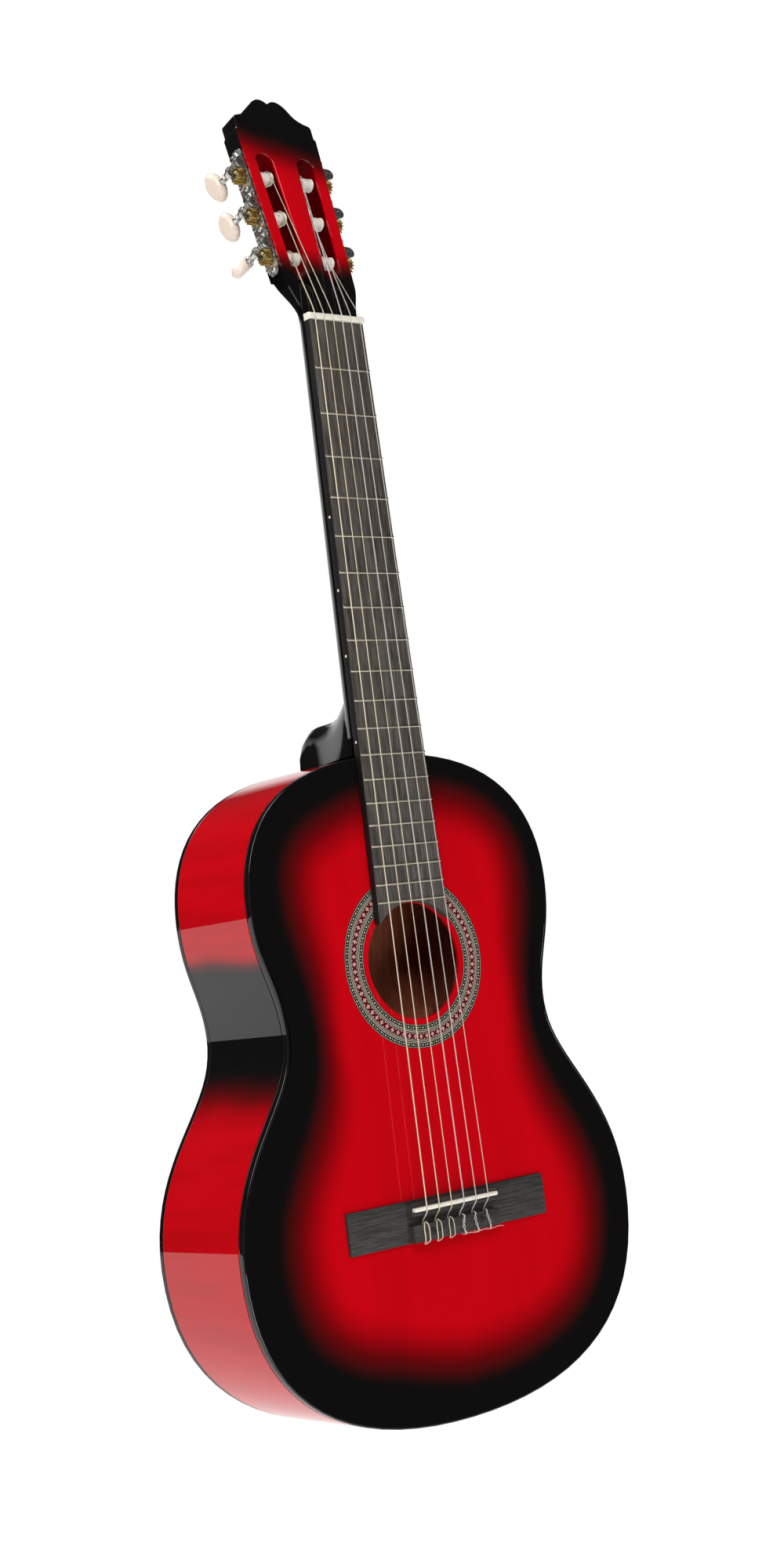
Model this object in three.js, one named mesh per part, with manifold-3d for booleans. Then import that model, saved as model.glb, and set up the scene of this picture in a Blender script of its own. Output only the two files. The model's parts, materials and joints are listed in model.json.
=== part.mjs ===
// A six-string classical guitar with a slotted head and side-mounted worm tuners.
//
// Frame, in millimetres: +Z runs up the neck, +X points to the treble side, and +Y points
// to the back. The origin is on the centre line, on the plane of the soundboard's front
// face, at the front edge of the nut.

import * as THREE from "three";
import { mergeVertices } from "three/addons/utils/BufferGeometryUtils.js";
import Module from "manifold-3d";

const wasm = await Module();
wasm.setup();

// ---------------------------------------------------------------- driving dimensions

const GAP = 0.3;                      // clearance between two pieces that touch
const SCALE_LENGTH = 650;             // nut to saddle
const FRET_COUNT = 19;
const BODY_FRET = 12;                 // the body starts at this fret

// Body outline: half width and height of its widest and narrowest places, and the
// lengths of the curve handles that leave them.
const TOP_Z = -324;
const UPPER_BOUT = { x: 139, z: -424.5, above: 52, below: 46 };
const WAIST = { x: 121, z: -520, above: 37, below: 45 };
const LOWER_BOUT = { x: 180.5, z: -671, above: 79, below: 95 };
const TAIL_Z = -806.5;
const TOP_HANDLE = 106;
const TAIL_HANDLE = 111;
const OUTLINE_STEPS = 9;              // straight pieces in each of the four curves

// Depth of the sides from the soundboard's plane: control heights of a curve that runs
// from the neck to the tail.
const SIDE_DEPTHS = [95, 90, 124, 93];
const BACK_ARCH = 6;                  // rise of the back between its edges

const PLATE_THICKNESS = 2.5;          // soundboard and back
const RIB_THICKNESS = 2.3;
const BINDING = { width: 2.5, frontDepth: 6, backDepth: 5 };
const LINING = { width: 6, height: 12, thinHeight: 4 };
const BLOCK_HALF_WIDTH = 32;

const HOLE = { z: -477, radius: 42.2 };
const ROSETTE = { inner: 46.5, outer: 63.7, depth: 0.9 };
const BACK_BRACE_PLACES = [-395, -520, -665];
const FAN_BRACES = 5;

// Fingerboard, nut and strings
const BOARD = { top: -6.5, nutHalfWidth: 25.2, bodyHalfWidth: 30.4 };
const FRET = { width: 2, height: 1, endInset: 0.6 };
const NUT = { thickness: 5.4, top: -9 };
const STRING_DIAMETERS = [0.71, 0.82, 1.02, 0.76, 0.9, 1.1];   // string 1 to string 6
const NUT_SPACING = 8.4;
const SADDLE_SPACING = 11.6;
const STRING_AT_SADDLE = -14.6;

// Bridge
const BRIDGE = {
  halfLength: 92, top: -645.8, bottom: -675.5, wingHeight: 3.4,
  blockHalfLength: 40, blockTop: -647.5, blockHeight: 10,
  channelTop: -656.5, channelBottom: -663, channelHeight: 4.5,
  tieHoleHeight: 6.6, tieHoleRadius: 1.2,
};
const SADDLE = { z: -652, thickness: 3, halfLength: 39, depth: 6 };

// Neck and head
const NECK_DEPTH = { nut: 16, heel: 18 };
const HEEL = { cap: 91, capHalfWidth: 13, top: -291, rootHalfWidth: 28 };
const HEAD_TILT = THREE.MathUtils.degToRad(13.46);
const HEAD_FRONT = -2.55;             // where the head's front plane meets the nut's edge
const HEAD_THICKNESS = 18;
const HEAD_SPLAY = THREE.MathUtils.degToRad(2.34);
const HEAD_START = 41;                // distance up the head where the slab begins
const CROWN_START = 165.8;
const CROWN_TOP = 195.8;

// Tuners: three to a side, 35 mm apart
const TUNER = { count: 3, spacing: 35, first: 58.2, edge: 33.1, depth: HEAD_THICKNESS / 2 };
const SLOT = { outer: 9.2, inner: 24.9, bottom: -22.5, top: 86.8 };
const TUNER_PLATE = { thickness: 1.2, halfHeight: 6.6, bottom: -15, top: 92 };
const GEAR = { teeth: 14, pitchRadius: 5.6, tipRadius: 6.4, rootRadius: 4.5, thickness: 5.6,
  out: 5.2, bore: 2.4 };
const WORM = { pitchRadius: 2.6, tipRadius: 3.4, coreRadius: 1.5, length: 10 };
const WORM_OFFSET = GEAR.pitchRadius + WORM.pitchRadius;
const WORM_PITCH = (2 * Math.PI * GEAR.pitchRadius) / GEAR.teeth;
const LEAD_ANGLE = Math.atan(WORM_PITCH / (2 * Math.PI * WORM.pitchRadius));
const LUG = { thickness: 1.8, radius: 4.4, hole: 1.9 };
const ROLLER = { barrel: 5.2, shaft: 3, tip: 2.1, stub: 2.5, stubLength: 5, screw: 2.7 };
const BUTTON = { near: 28, length: 17, width: 24, thickness: 8.6 };
const BUTTON_TURNS = [35, 0, 20, -20, -12, 55];   // how each stands at rest, string 1 to 6

// ---------------------------------------------------------------- solids and booleans

function geometryFrom(positions, triangles) {
  const geometry = new THREE.BufferGeometry();
  geometry.setAttribute("position", new THREE.Float32BufferAttribute(positions, 3));
  geometry.setIndex(triangles);
  return geometry;
}

function signedVolume(geometry) {
  const position = geometry.attributes.position;
  const index = geometry.index;
  const corners = [new THREE.Vector3(), new THREE.Vector3(), new THREE.Vector3()];
  let volume = 0;
  for (let i = 0; i < index.count; i += 3) {
    corners.forEach((corner, k) => corner.fromBufferAttribute(position, index.getX(i + k)));
    volume += corners[0].dot(corners[1].cross(corners[2])) / 6;
  }
  return volume;
}

// Turns a closed surface right side out.
function facingOut(geometry) {
  if (signedVolume(geometry) > 0) {
    return geometry;
  }
  const flipped = [];
  for (let i = 0; i < geometry.index.count; i += 3) {
    flipped.push(geometry.index.getX(i), geometry.index.getX(i + 2), geometry.index.getX(i + 1));
  }
  geometry.setIndex(flipped);
  return geometry;
}

// Skins a row of rings that all have the same number of points. An open row gets two
// flat ends, and a closed row joins its last ring to its first.
function loft(rings, closed = false) {
  const count = rings[0].length;
  const positions = rings.flat().flatMap((point) => point.toArray());
  const triangles = [];
  const spans = closed ? rings.length : rings.length - 1;
  for (let i = 0; i < spans; i += 1) {
    const here = i * count;
    const next = ((i + 1) % rings.length) * count;
    for (let j = 0; j < count; j += 1) {
      const k = (j + 1) % count;
      triangles.push(here + j, here + k, next + k, here + j, next + k, next + j);
    }
  }
  if (!closed) {
    const last = (rings.length - 1) * count;
    for (let j = 1; j < count - 1; j += 1) {
      triangles.push(0, j + 1, j, last, last + j, last + j + 1);
    }
  }
  return facingOut(geometryFrom(positions, triangles));
}

function solidOf(geometry) {
  const bare = geometry.clone();
  bare.deleteAttribute("normal");
  bare.deleteAttribute("uv");
  const merged = mergeVertices(bare, 1e-4);
  return new wasm.Manifold(new wasm.Mesh({
    numProp: 3,
    vertProperties: merged.attributes.position.array,
    triVerts: new Uint32Array(merged.index.array),
  }));
}

function geometryOf(solid) {
  const mesh = solid.getMesh();
  return geometryFrom(Array.from(mesh.vertProperties), Array.from(mesh.triVerts));
}

function joined(geometries) {
  return geometryOf(geometries.map(solidOf).reduce((whole, piece) => whole.add(piece)));
}

function cut(geometry, tools) {
  return geometryOf(tools.map(solidOf).reduce((whole, tool) => whole.subtract(tool),
    solidOf(geometry)));
}

// A flat shape drawn in x and z, with its front face at one y and its back at another.
function slab(shape, front, back, curveSegments = 12) {
  const geometry = new THREE.ExtrudeGeometry(shape, {
    depth: back - front, bevelEnabled: false, curveSegments });
  return geometry.rotateX(Math.PI / 2).translate(0, back, 0);
}

// A flat shape drawn in y and z, that runs from one x to another.
function sideSlab(shape, from, to) {
  const geometry = new THREE.ExtrudeGeometry(shape, {
    depth: to - from, bevelEnabled: false, curveSegments: 8 });
  geometry.applyMatrix4(new THREE.Matrix4().set(0, 0, 1, 0, 1, 0, 0, 0, 0, 1, 0, 0, 0, 0, 0, 1));
  return geometry.translate(from, 0, 0);
}

function box(low, high) {
  const size = high.map((value, axis) => value - low[axis]);
  return new THREE.BoxGeometry(...size).translate(...low.map((value, axis) =>
    value + size[axis] / 2));
}

function cylinderAlongX(radius, from, to, segments = 14) {
  const geometry = new THREE.CylinderGeometry(radius, radius, Math.abs(to - from), segments);
  return geometry.rotateZ(Math.PI / 2).translate((from + to) / 2, 0, 0);
}

function cylinderAlongY(radius, from, to, segments = 12) {
  const geometry = new THREE.CylinderGeometry(radius, radius, to - from, segments);
  return geometry.translate(0, (from + to) / 2, 0);
}

function cylinderAlongZ(radius, from, to, segments = 10) {
  const geometry = new THREE.CylinderGeometry(radius, radius, to - from, segments);
  return geometry.rotateX(Math.PI / 2).translate(0, 0, (from + to) / 2);
}

function polygon(points) {
  return new THREE.Shape(points.map(([a, b]) => new THREE.Vector2(a, b)));
}

function disc(radius) {
  const shape = new THREE.Shape();
  shape.absarc(0, HOLE.z, radius, 0, 2 * Math.PI);
  return shape;
}

// A round bar that follows a chain of points, mitred at each bend.
function bar(points, radius, sides = 6) {
  const across = new THREE.Vector3(1, 0, 0);
  const rings = points.map((point, i) => {
    const before = points[Math.max(i - 1, 0)];
    const after = points[Math.min(i + 1, points.length - 1)];
    const forward = after.clone().sub(before).normalize();
    const up = new THREE.Vector3().crossVectors(across, forward).normalize();
    const side = new THREE.Vector3().crossVectors(forward, up);
    return Array.from({ length: sides }, (_, k) => {
      const angle = (2 * Math.PI * k) / sides;
      return point.clone()
        .addScaledVector(side, radius * Math.cos(angle))
        .addScaledVector(up, radius * Math.sin(angle));
    });
  });
  return loft(rings);
}

// ---------------------------------------------------------------- materials

function finish(color, roughness, metalness = 0) {
  return new THREE.MeshStandardMaterial({ color, roughness, metalness });
}

const LACQUER_RED = () => finish(0xb5000d, 0.15);
const LACQUER_BLACK = () => finish(0x0b0a0a, 0.15);
const BARE_WOOD = () => finish(0xb98a57, 0.7);
const DARK_WOOD = () => finish(0x3a3634, 0.55);
const IVORY = () => finish(0xeee8da, 0.35);
const MOSAIC = () => finish(0x9a8f7c, 0.4);
const CHROME = () => finish(0xb9b7b0, 0.2, 1);
const BRASS = () => finish(0xc9a24a, 0.3, 1);
const NYLON = () => finish(0xd9d5c8, 0.3);
const WOUND = () => finish(0xcdbb90, 0.35, 0.6);

const guitar = new THREE.Group();

function add(name, geometry, material, parent = guitar) {
  const mesh = new THREE.Mesh(geometry, material);
  mesh.name = name;
  parent.add(mesh);
}

// ---------------------------------------------------------------- body outline

function outlineCurves() {
  const corners = [
    { x: 0, z: TOP_Z },
    UPPER_BOUT,
    WAIST,
    LOWER_BOUT,
    { x: 0, z: TAIL_Z },
  ];
  const handles = [
    [[TOP_HANDLE, 0], [0, UPPER_BOUT.above]],
    [[0, -UPPER_BOUT.below], [0, WAIST.above]],
    [[0, -WAIST.below], [0, LOWER_BOUT.above]],
    [[0, -LOWER_BOUT.below], [TAIL_HANDLE, 0]],
  ];
  return handles.map(([leave, arrive], i) => {
    const from = new THREE.Vector2(corners[i].x, corners[i].z);
    const to = new THREE.Vector2(corners[i + 1].x, corners[i + 1].z);
    const first = from.clone().add(new THREE.Vector2(...leave));
    const second = to.clone().add(new THREE.Vector2(...arrive));
    return new THREE.CubicBezierCurve(from, first, second, to);
  });
}

// Places along the treble half of the edge, from the neck to the tail, each with the
// direction that points out of the body.
const TREBLE_EDGE = outlineCurves().flatMap((curve, i) => {
  const steps = Array.from({ length: OUTLINE_STEPS + (i === 3 ? 1 : 0) }, (_, k) => k);
  return steps.map((k) => {
    const at = curve.getPoint(k / OUTLINE_STEPS);
    const tangent = curve.getTangent(k / OUTLINE_STEPS);
    return { x: at.x, z: at.y, outX: -tangent.y, outZ: tangent.x };
  });
});

const BASS_EDGE = TREBLE_EDGE.map(({ x, z, outX, outZ }) => ({ x: -x, z, outX: -outX, outZ }));
const WHOLE_EDGE = [...TREBLE_EDGE, ...BASS_EDGE.slice(1, -1).reverse()];

function inside(place, inset) {
  return { x: place.x - place.outX * inset, z: place.z - place.outZ * inset };
}

function outlineShape(inset) {
  return polygon(WHOLE_EDGE.map((place) => inside(place, inset)).map(({ x, z }) => [x, z]));
}

function halfWidthAt(z) {
  const below = TREBLE_EDGE.findIndex((place) => place.z <= z);
  if (below <= 0) {
    return below === 0 ? 0 : TREBLE_EDGE.at(-1).x;
  }
  const upper = TREBLE_EDGE[below - 1];
  const lower = TREBLE_EDGE[below];
  return THREE.MathUtils.mapLinear(z, upper.z, lower.z, upper.x, lower.x);
}

function alongBody(z) {
  return THREE.MathUtils.clamp((TOP_Z - z) / (TOP_Z - TAIL_Z), 0, 1);
}

// y of the back's outer face at its edge
function sideDepth(z) {
  const t = alongBody(z);
  const [a, b, c, d] = SIDE_DEPTHS;
  const s = 1 - t;
  return a * s ** 3 + 3 * b * s * s * t + 3 * c * s * t * t + d * t ** 3;
}

// y of the back's outer face anywhere
function backSurface(x, z) {
  const reach = Math.max(halfWidthAt(z), 1);
  const ends = 1 - (2 * alongBody(z) - 1) ** 4;
  return sideDepth(z) + BACK_ARCH * ends * Math.max(1 - (x / reach) ** 2, 0);
}

// A strip that follows the edge: its section's corners are given by an inset and a y.
function edgeStrip(places, section, closed = false) {
  return loft(places.map((place) => section(place).map(([inset, y]) => {
    const { x, z } = inside(place, inset);
    return new THREE.Vector3(x, y, z);
  })), closed);
}

// ---------------------------------------------------------------- body

function soundboard() {
  const shape = outlineShape(BINDING.width + GAP);
  shape.holes.push(new THREE.Path(disc(HOLE.radius).getPoints(14)));
  const groove = disc(ROSETTE.outer + GAP);
  groove.holes.push(new THREE.Path(disc(ROSETTE.inner - GAP).getPoints(14)));
  const plate = slab(shape, 0, PLATE_THICKNESS);
  return cut(plate, [slab(groove, -1, ROSETTE.depth + GAP, 14)]);
}

function rosette() {
  const ring = disc(ROSETTE.outer);
  ring.holes.push(new THREE.Path(disc(ROSETTE.inner).getPoints(14)));
  return slab(ring, 0, ROSETTE.depth, 14);
}

function backPlate() {
  const scales = [0.3, 0.62, 0.86, 1];
  const centre = { x: 0, z: (UPPER_BOUT.z + LOWER_BOUT.z) / 2 };
  const edge = WHOLE_EDGE.map((place) => inside(place, BINDING.width + GAP));
  const rings = scales.map((scale) => edge.map(({ x, z }) => ({
    x: centre.x + (x - centre.x) * scale,
    z: centre.z + (z - centre.z) * scale,
  })));
  const count = edge.length;
  const positions = [];
  [0, PLATE_THICKNESS].forEach((inward) => {
    positions.push(centre.x, backSurface(centre.x, centre.z) - inward, centre.z);
    rings.flat().forEach(({ x, z }) => positions.push(x, backSurface(x, z) - inward, z));
  });
  const layer = 1 + rings.length * count;
  const triangles = [];
  for (let j = 0; j < count; j += 1) {
    const k = (j + 1) % count;
    triangles.push(0, 1 + j, 1 + k, layer, layer + 1 + k, layer + 1 + j);
    for (let ring = 0; ring < rings.length - 1; ring += 1) {
      const a = 1 + ring * count;
      const b = a + count;
      triangles.push(a + j, b + j, b + k, a + j, b + k, a + k);
      triangles.push(layer + a + j, layer + b + k, layer + b + j);
      triangles.push(layer + a + j, layer + a + k, layer + b + k);
    }
    const rim = 1 + (rings.length - 1) * count;
    triangles.push(rim + j, layer + rim + j, layer + rim + k, rim + j, layer + rim + k, rim + k);
  }
  return facingOut(geometryFrom(positions, triangles));
}

// One side, kept a hair off the centre line where it meets the other one.
function rib(edge) {
  const side = Math.sign(edge[OUTLINE_STEPS].x);
  const places = edge.map((place) => ({
    ...place, x: side * Math.max(Math.abs(place.x), GAP / 2) }));
  return edgeStrip(places, ({ z }) => [
    [0, BINDING.frontDepth + GAP],
    [RIB_THICKNESS, BINDING.frontDepth + GAP],
    [RIB_THICKNESS, sideDepth(z) - BINDING.backDepth - GAP],
    [0, sideDepth(z) - BINDING.backDepth - GAP],
  ]);
}

function frontBinding() {
  return edgeStrip(WHOLE_EDGE, () => [
    [0, 0], [BINDING.width, 0], [BINDING.width, BINDING.frontDepth], [0, BINDING.frontDepth],
  ], true);
}

function backBinding() {
  return edgeStrip(WHOLE_EDGE, ({ z }) => {
    const depth = sideDepth(z);
    const front = depth - BINDING.backDepth;
    return [[0, front], [BINDING.width, front], [BINDING.width, depth], [0, depth]];
  }, true);
}

// The glue strip inside the corner between a side and a plate, between the two blocks.
function lining(edge, face, inward) {
  const clear = BLOCK_HALF_WIDTH + 1;
  const outer = RIB_THICKNESS + GAP;
  return edgeStrip(edge.filter(({ x }) => Math.abs(x) > clear + LINING.width), ({ z }) => {
    const glued = face(z);
    return [
      [outer, glued],
      [outer + LINING.width, glued],
      [outer + LINING.width, glued + inward * LINING.thinHeight],
      [outer, glued + inward * LINING.height],
    ];
  });
}

const INSIDE_FRONT = PLATE_THICKNESS + GAP;

function insideBack(z) {
  return sideDepth(z) - PLATE_THICKNESS - GAP;
}

function block(nearEnd, thickness, direction) {
  const wall = nearEnd + direction * (RIB_THICKNESS + 2.2);
  const far = wall + direction * thickness;
  const low = [-BLOCK_HALF_WIDTH, INSIDE_FRONT, Math.min(wall, far)];
  const high = [BLOCK_HALF_WIDTH, insideBack(nearEnd) - 1, Math.max(wall, far)];
  return box(low, high);
}

// A bar across the soundboard, with its ends planed down.
function frontCrossBrace(z) {
  const reach = halfWidthAt(z) - 12;
  const shape = polygon([
    [-reach, INSIDE_FRONT], [reach, INSIDE_FRONT], [reach, 6], [reach - 30, 15],
    [30 - reach, 15], [-reach, 6],
  ]);
  const width = 7;
  return new THREE.ExtrudeGeometry(shape, { depth: width, bevelEnabled: false })
    .translate(0, 0, z - width / 2);
}

// Thin bars that spread from below the soundhole to the tail.
function fanBrace(index) {
  const spread = index - (FAN_BRACES - 1) / 2;
  const length = 190 - 14 * Math.abs(spread);
  const depth = 5;
  return box([-2.5, 0, -length / 2], [2.5, depth, length / 2])
    .rotateY(THREE.MathUtils.degToRad(7 * spread))
    .translate(33 * spread, INSIDE_FRONT, -645);
}

function backCrossBrace(z) {
  const reach = halfWidthAt(z) - 12;
  const width = 12;
  const steps = 8;
  const height = 14;
  const glued = (x) => backSurface(x, z) - PLATE_THICKNESS - 1.2;
  const along = Array.from({ length: steps + 1 }, (_, i) => reach * ((2 * i) / steps - 1));
  const outer = along.map((x) => [x, glued(x)]);
  const inner = along.slice(1, -1).reverse().map((x) => [x, glued(x) - height]);
  return new THREE.ExtrudeGeometry(polygon([...outer, ...inner]), {
    depth: width, bevelEnabled: false }).translate(0, 0, z - width / 2);
}

function addBody() {
  add("soundboard", soundboard(), LACQUER_RED());
  add("rosette", rosette(), MOSAIC());
  add("back_plate", backPlate(), LACQUER_RED());
  add("rib_treble", rib(TREBLE_EDGE), LACQUER_RED());
  add("rib_bass", rib(BASS_EDGE), LACQUER_RED());
  add("binding_front", frontBinding(), LACQUER_BLACK());
  add("binding_back", backBinding(), LACQUER_BLACK());
  [["treble", TREBLE_EDGE], ["bass", BASS_EDGE]].forEach(([side, edge]) => {
    add(`lining_front_${side}`, lining(edge, () => INSIDE_FRONT, 1), BARE_WOOD());
    add(`lining_back_${side}`, lining(edge, insideBack, -1), BARE_WOOD());
  });
  add("neck_block", block(TOP_Z, 26, -1), BARE_WOOD());
  add("tail_block", block(TAIL_Z, 14, 1), BARE_WOOD());
  add("cross_brace_upper", frontCrossBrace(HOLE.z + 56), BARE_WOOD());
  add("cross_brace_lower", frontCrossBrace(HOLE.z - 54), BARE_WOOD());
  for (let index = 0; index < FAN_BRACES; index += 1) {
    add(`fan_brace_${index + 1}`, fanBrace(index), BARE_WOOD());
  }
  BACK_BRACE_PLACES.forEach((z, index) => {
    add(`back_brace_${index + 1}`, backCrossBrace(z), BARE_WOOD());
  });
}

// ---------------------------------------------------------------- fingerboard and nut

function fretPlace(number) {
  return -SCALE_LENGTH * (1 - 2 ** (-number / 12));
}

function boardHalfWidth(z) {
  return THREE.MathUtils.mapLinear(z, 0, fretPlace(BODY_FRET), BOARD.nutHalfWidth,
    BOARD.bodyHalfWidth);
}

// The end of the board is cut to the curve of the soundhole.
function boardShape(inset = 0) {
  const tipX = 31.6;
  const tipZ = HOLE.z + Math.sqrt((HOLE.radius + 0.6) ** 2 - tipX ** 2);
  const tipAngle = Math.atan2(tipZ - HOLE.z, tipX);
  const shape = new THREE.Shape();
  shape.moveTo(-boardHalfWidth(0) + inset, -inset);
  shape.lineTo(boardHalfWidth(0) - inset, -inset);
  shape.lineTo(boardHalfWidth(tipZ) - inset, tipZ + inset);
  shape.lineTo(tipX - inset, tipZ + inset);
  shape.absarc(0, HOLE.z, HOLE.radius + 0.6 + inset, tipAngle, Math.PI - tipAngle, false);
  shape.lineTo(-boardHalfWidth(tipZ) + inset, tipZ + inset);
  return shape;
}

// A wire with a rounded crown, sunk a little into the board.
function fretWire(number) {
  const z = fretPlace(number);
  const reach = boardHalfWidth(z) - FRET.endInset;
  const half = FRET.width / 2;
  const crown = BOARD.top - FRET.height;
  const section = polygon([
    [BOARD.top + 0.5, -half], [BOARD.top - FRET.height / 2, -half], [crown, -half / 3],
    [crown, half / 3], [BOARD.top - FRET.height / 2, half], [BOARD.top + 0.5, half],
  ]);
  return sideSlab(section, -reach, reach).translate(0, 0, z);
}

function fretboard() {
  const board = slab(boardShape(), BOARD.top, -GAP, 10);
  const wires = Array.from({ length: FRET_COUNT }, (_, i) => fretWire(i + 1));
  const beyondEnd = slab(disc(HOLE.radius + 0.6), BOARD.top - 3, 1, 20);
  return cut(joined([board, ...wires]), [beyondEnd]);
}

function nut() {
  const rounded = 1.2;
  const section = polygon([
    [-GAP, GAP], [-GAP, NUT.thickness], [NUT.top + rounded + 1, NUT.thickness],
    [NUT.top + 0.4, NUT.thickness - rounded], [NUT.top, rounded], [NUT.top + 0.4, GAP],
  ]);
  return sideSlab(section, -BOARD.nutHalfWidth, BOARD.nutHalfWidth);
}

// ---------------------------------------------------------------- bridge

function stringX(number, spacing) {
  return (3.5 - number) * spacing;
}

function stringNumbers() {
  return STRING_DIAMETERS.map((_, i) => i + 1);
}

function bridge() {
  const { top, bottom, wingHeight, blockHeight } = BRIDGE;
  const wings = sideSlab(polygon([
    [-GAP, bottom], [-wingHeight + 1, bottom], [-wingHeight, bottom + 5],
    [-wingHeight, top - 5], [-wingHeight + 1, top], [-GAP, top],
  ]), -BRIDGE.halfLength, BRIDGE.halfLength);
  const block = sideSlab(polygon([
    [-GAP, bottom + 0.5], [-blockHeight, bottom + 0.5], [-blockHeight, BRIDGE.channelBottom],
    [-BRIDGE.channelHeight, BRIDGE.channelBottom], [-BRIDGE.channelHeight, BRIDGE.channelTop],
    [-blockHeight, BRIDGE.channelTop], [-blockHeight, BRIDGE.blockTop], [-GAP, BRIDGE.blockTop],
  ]), -BRIDGE.blockHalfLength, BRIDGE.blockHalfLength);
  const slotHalf = SADDLE.thickness / 2 + GAP;
  const slot = box(
    [-SADDLE.halfLength - GAP, -blockHeight - 1, SADDLE.z - slotHalf],
    [SADDLE.halfLength + GAP, -blockHeight + SADDLE.depth, SADDLE.z + slotHalf],
  );
  const holes = stringNumbers().map((number) => cylinderAlongZ(BRIDGE.tieHoleRadius,
    bottom - 1, BRIDGE.channelBottom + 1)
    .translate(stringX(number, SADDLE_SPACING), -BRIDGE.tieHoleHeight, 0));
  return cut(joined([wings, block]), [slot, ...holes]);
}

function saddle() {
  const half = SADDLE.thickness / 2;
  const base = -BRIDGE.blockHeight + SADDLE.depth - GAP;
  const crown = STRING_AT_SADDLE + 1.2;
  return sideSlab(polygon([
    [base, -half], [base, half], [crown + 1, half], [crown, half / 3], [crown, -half / 3],
    [crown + 1, -half],
  ]), -SADDLE.halfLength, SADDLE.halfLength).translate(0, 0, SADDLE.z);
}

// ---------------------------------------------------------------- head and neck frames

// Turns a point given as (x, distance behind the front face, distance up the head).
const HEAD_FRAME = new THREE.Matrix4()
  .makeRotationX(-HEAD_TILT)
  .setPosition(0, HEAD_FRONT, 0);

// The frame of one row of tuners: x across the head's side, y behind the front face,
// z along the side, from the tuner nearest the nut.
function sideFrame(side) {
  return new THREE.Matrix4()
    .makeRotationY(side * HEAD_SPLAY)
    .setPosition(side * TUNER.edge, 0, TUNER.first);
}

function inHead(geometry, side = 0) {
  if (side !== 0) {
    geometry.applyMatrix4(sideFrame(side));
  }
  return geometry.applyMatrix4(HEAD_FRAME);
}

function headEdge(up) {
  return TUNER.edge + (up - TUNER.first) * Math.tan(HEAD_SPLAY);
}

// ---------------------------------------------------------------- neck

// One slice of the neck: flat in front, rounded behind. A small roundness gives a
// rectangle and 1 gives half an ellipse.
function neckSlice(z, halfWidth, front, back, roundness) {
  const steps = 14;
  return Array.from({ length: steps + 1 }, (_, i) => {
    const angle = (Math.PI * i) / steps;
    const x = Math.sign(Math.cos(angle)) * Math.abs(Math.cos(angle)) ** roundness;
    const y = Math.sin(angle) ** roundness;
    return new THREE.Vector3(halfWidth * x, front + (back - front) * y, z);
  });
}

function shaft() {
  const slices = [];
  const neckEnd = HEEL.top - 20;
  [neckEnd, -240, -120, -30].forEach((z) => {
    const back = THREE.MathUtils.mapLinear(z, 0, neckEnd, NECK_DEPTH.nut, NECK_DEPTH.heel);
    slices.push(neckSlice(z, boardHalfWidth(z), 0, back, 0.85));
  });
  const slope = Math.tan(HEAD_TILT);
  const backAtNut = HEAD_FRONT + HEAD_THICKNESS / Math.cos(HEAD_TILT);
  const faceStart = NUT.thickness + 2 * GAP;
  [0.2, faceStart - 0.1, faceStart + 0.1, 10, 14, 18, 22, 26, 30, 34, 38, 44].forEach((z) => {
    const spread = THREE.MathUtils.smoothstep(z, 6, 34);
    const square = THREE.MathUtils.smoothstep(z, 8, 42);
    const shrink = z > 40 ? 0.05 : 0;
    const halfWidth = THREE.MathUtils.lerp(BOARD.nutHalfWidth, headEdge(34), spread)
      + Math.max(z - 34, 0) * Math.tan(HEAD_SPLAY);
    const front = z > faceStart ? HEAD_FRONT + slope * z + shrink : 0;
    const back = backAtNut + slope * Math.max(z, 0) - shrink;
    slices.push(neckSlice(z, halfWidth - shrink, front, back,
      THREE.MathUtils.lerp(0.85, 0.08, square)));
  });
  return loft(slices);
}

// The heel: slices parallel to the soundboard that narrow towards the cap.
function heel() {
  const foot = TOP_Z + 0.4;
  const steps = 8;
  const slices = [6, 13, 18, 22, 27, 33, 40, 50, 62, 72, 79, 84, 87.5, 90, HEEL.cap].map((y) => {
    const flare = 34 * (1 - THREE.MathUtils.smoothstep(y, 0, 60)) ** 2;
    const turn = Math.max(y - 72, 0) / (HEEL.cap + 0.4 - 72);
    const rounding = 15 * (1 - Math.sqrt(1 - turn ** 2));
    const top = HEEL.top + flare - rounding;
    const taper = THREE.MathUtils.smoothstep(y, 0, HEEL.cap);
    const halfWidth = THREE.MathUtils.lerp(HEEL.rootHalfWidth, HEEL.capHalfWidth, taper);
    return Array.from({ length: steps + 1 }, (_, i) => {
      const angle = (Math.PI * i) / steps;
      const x = Math.sign(Math.cos(angle)) * Math.abs(Math.cos(angle)) ** 0.8;
      return new THREE.Vector3(halfWidth * x, y, foot + (top - foot) * Math.sin(angle) ** 0.8);
    });
  });
  return loft(slices);
}

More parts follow.
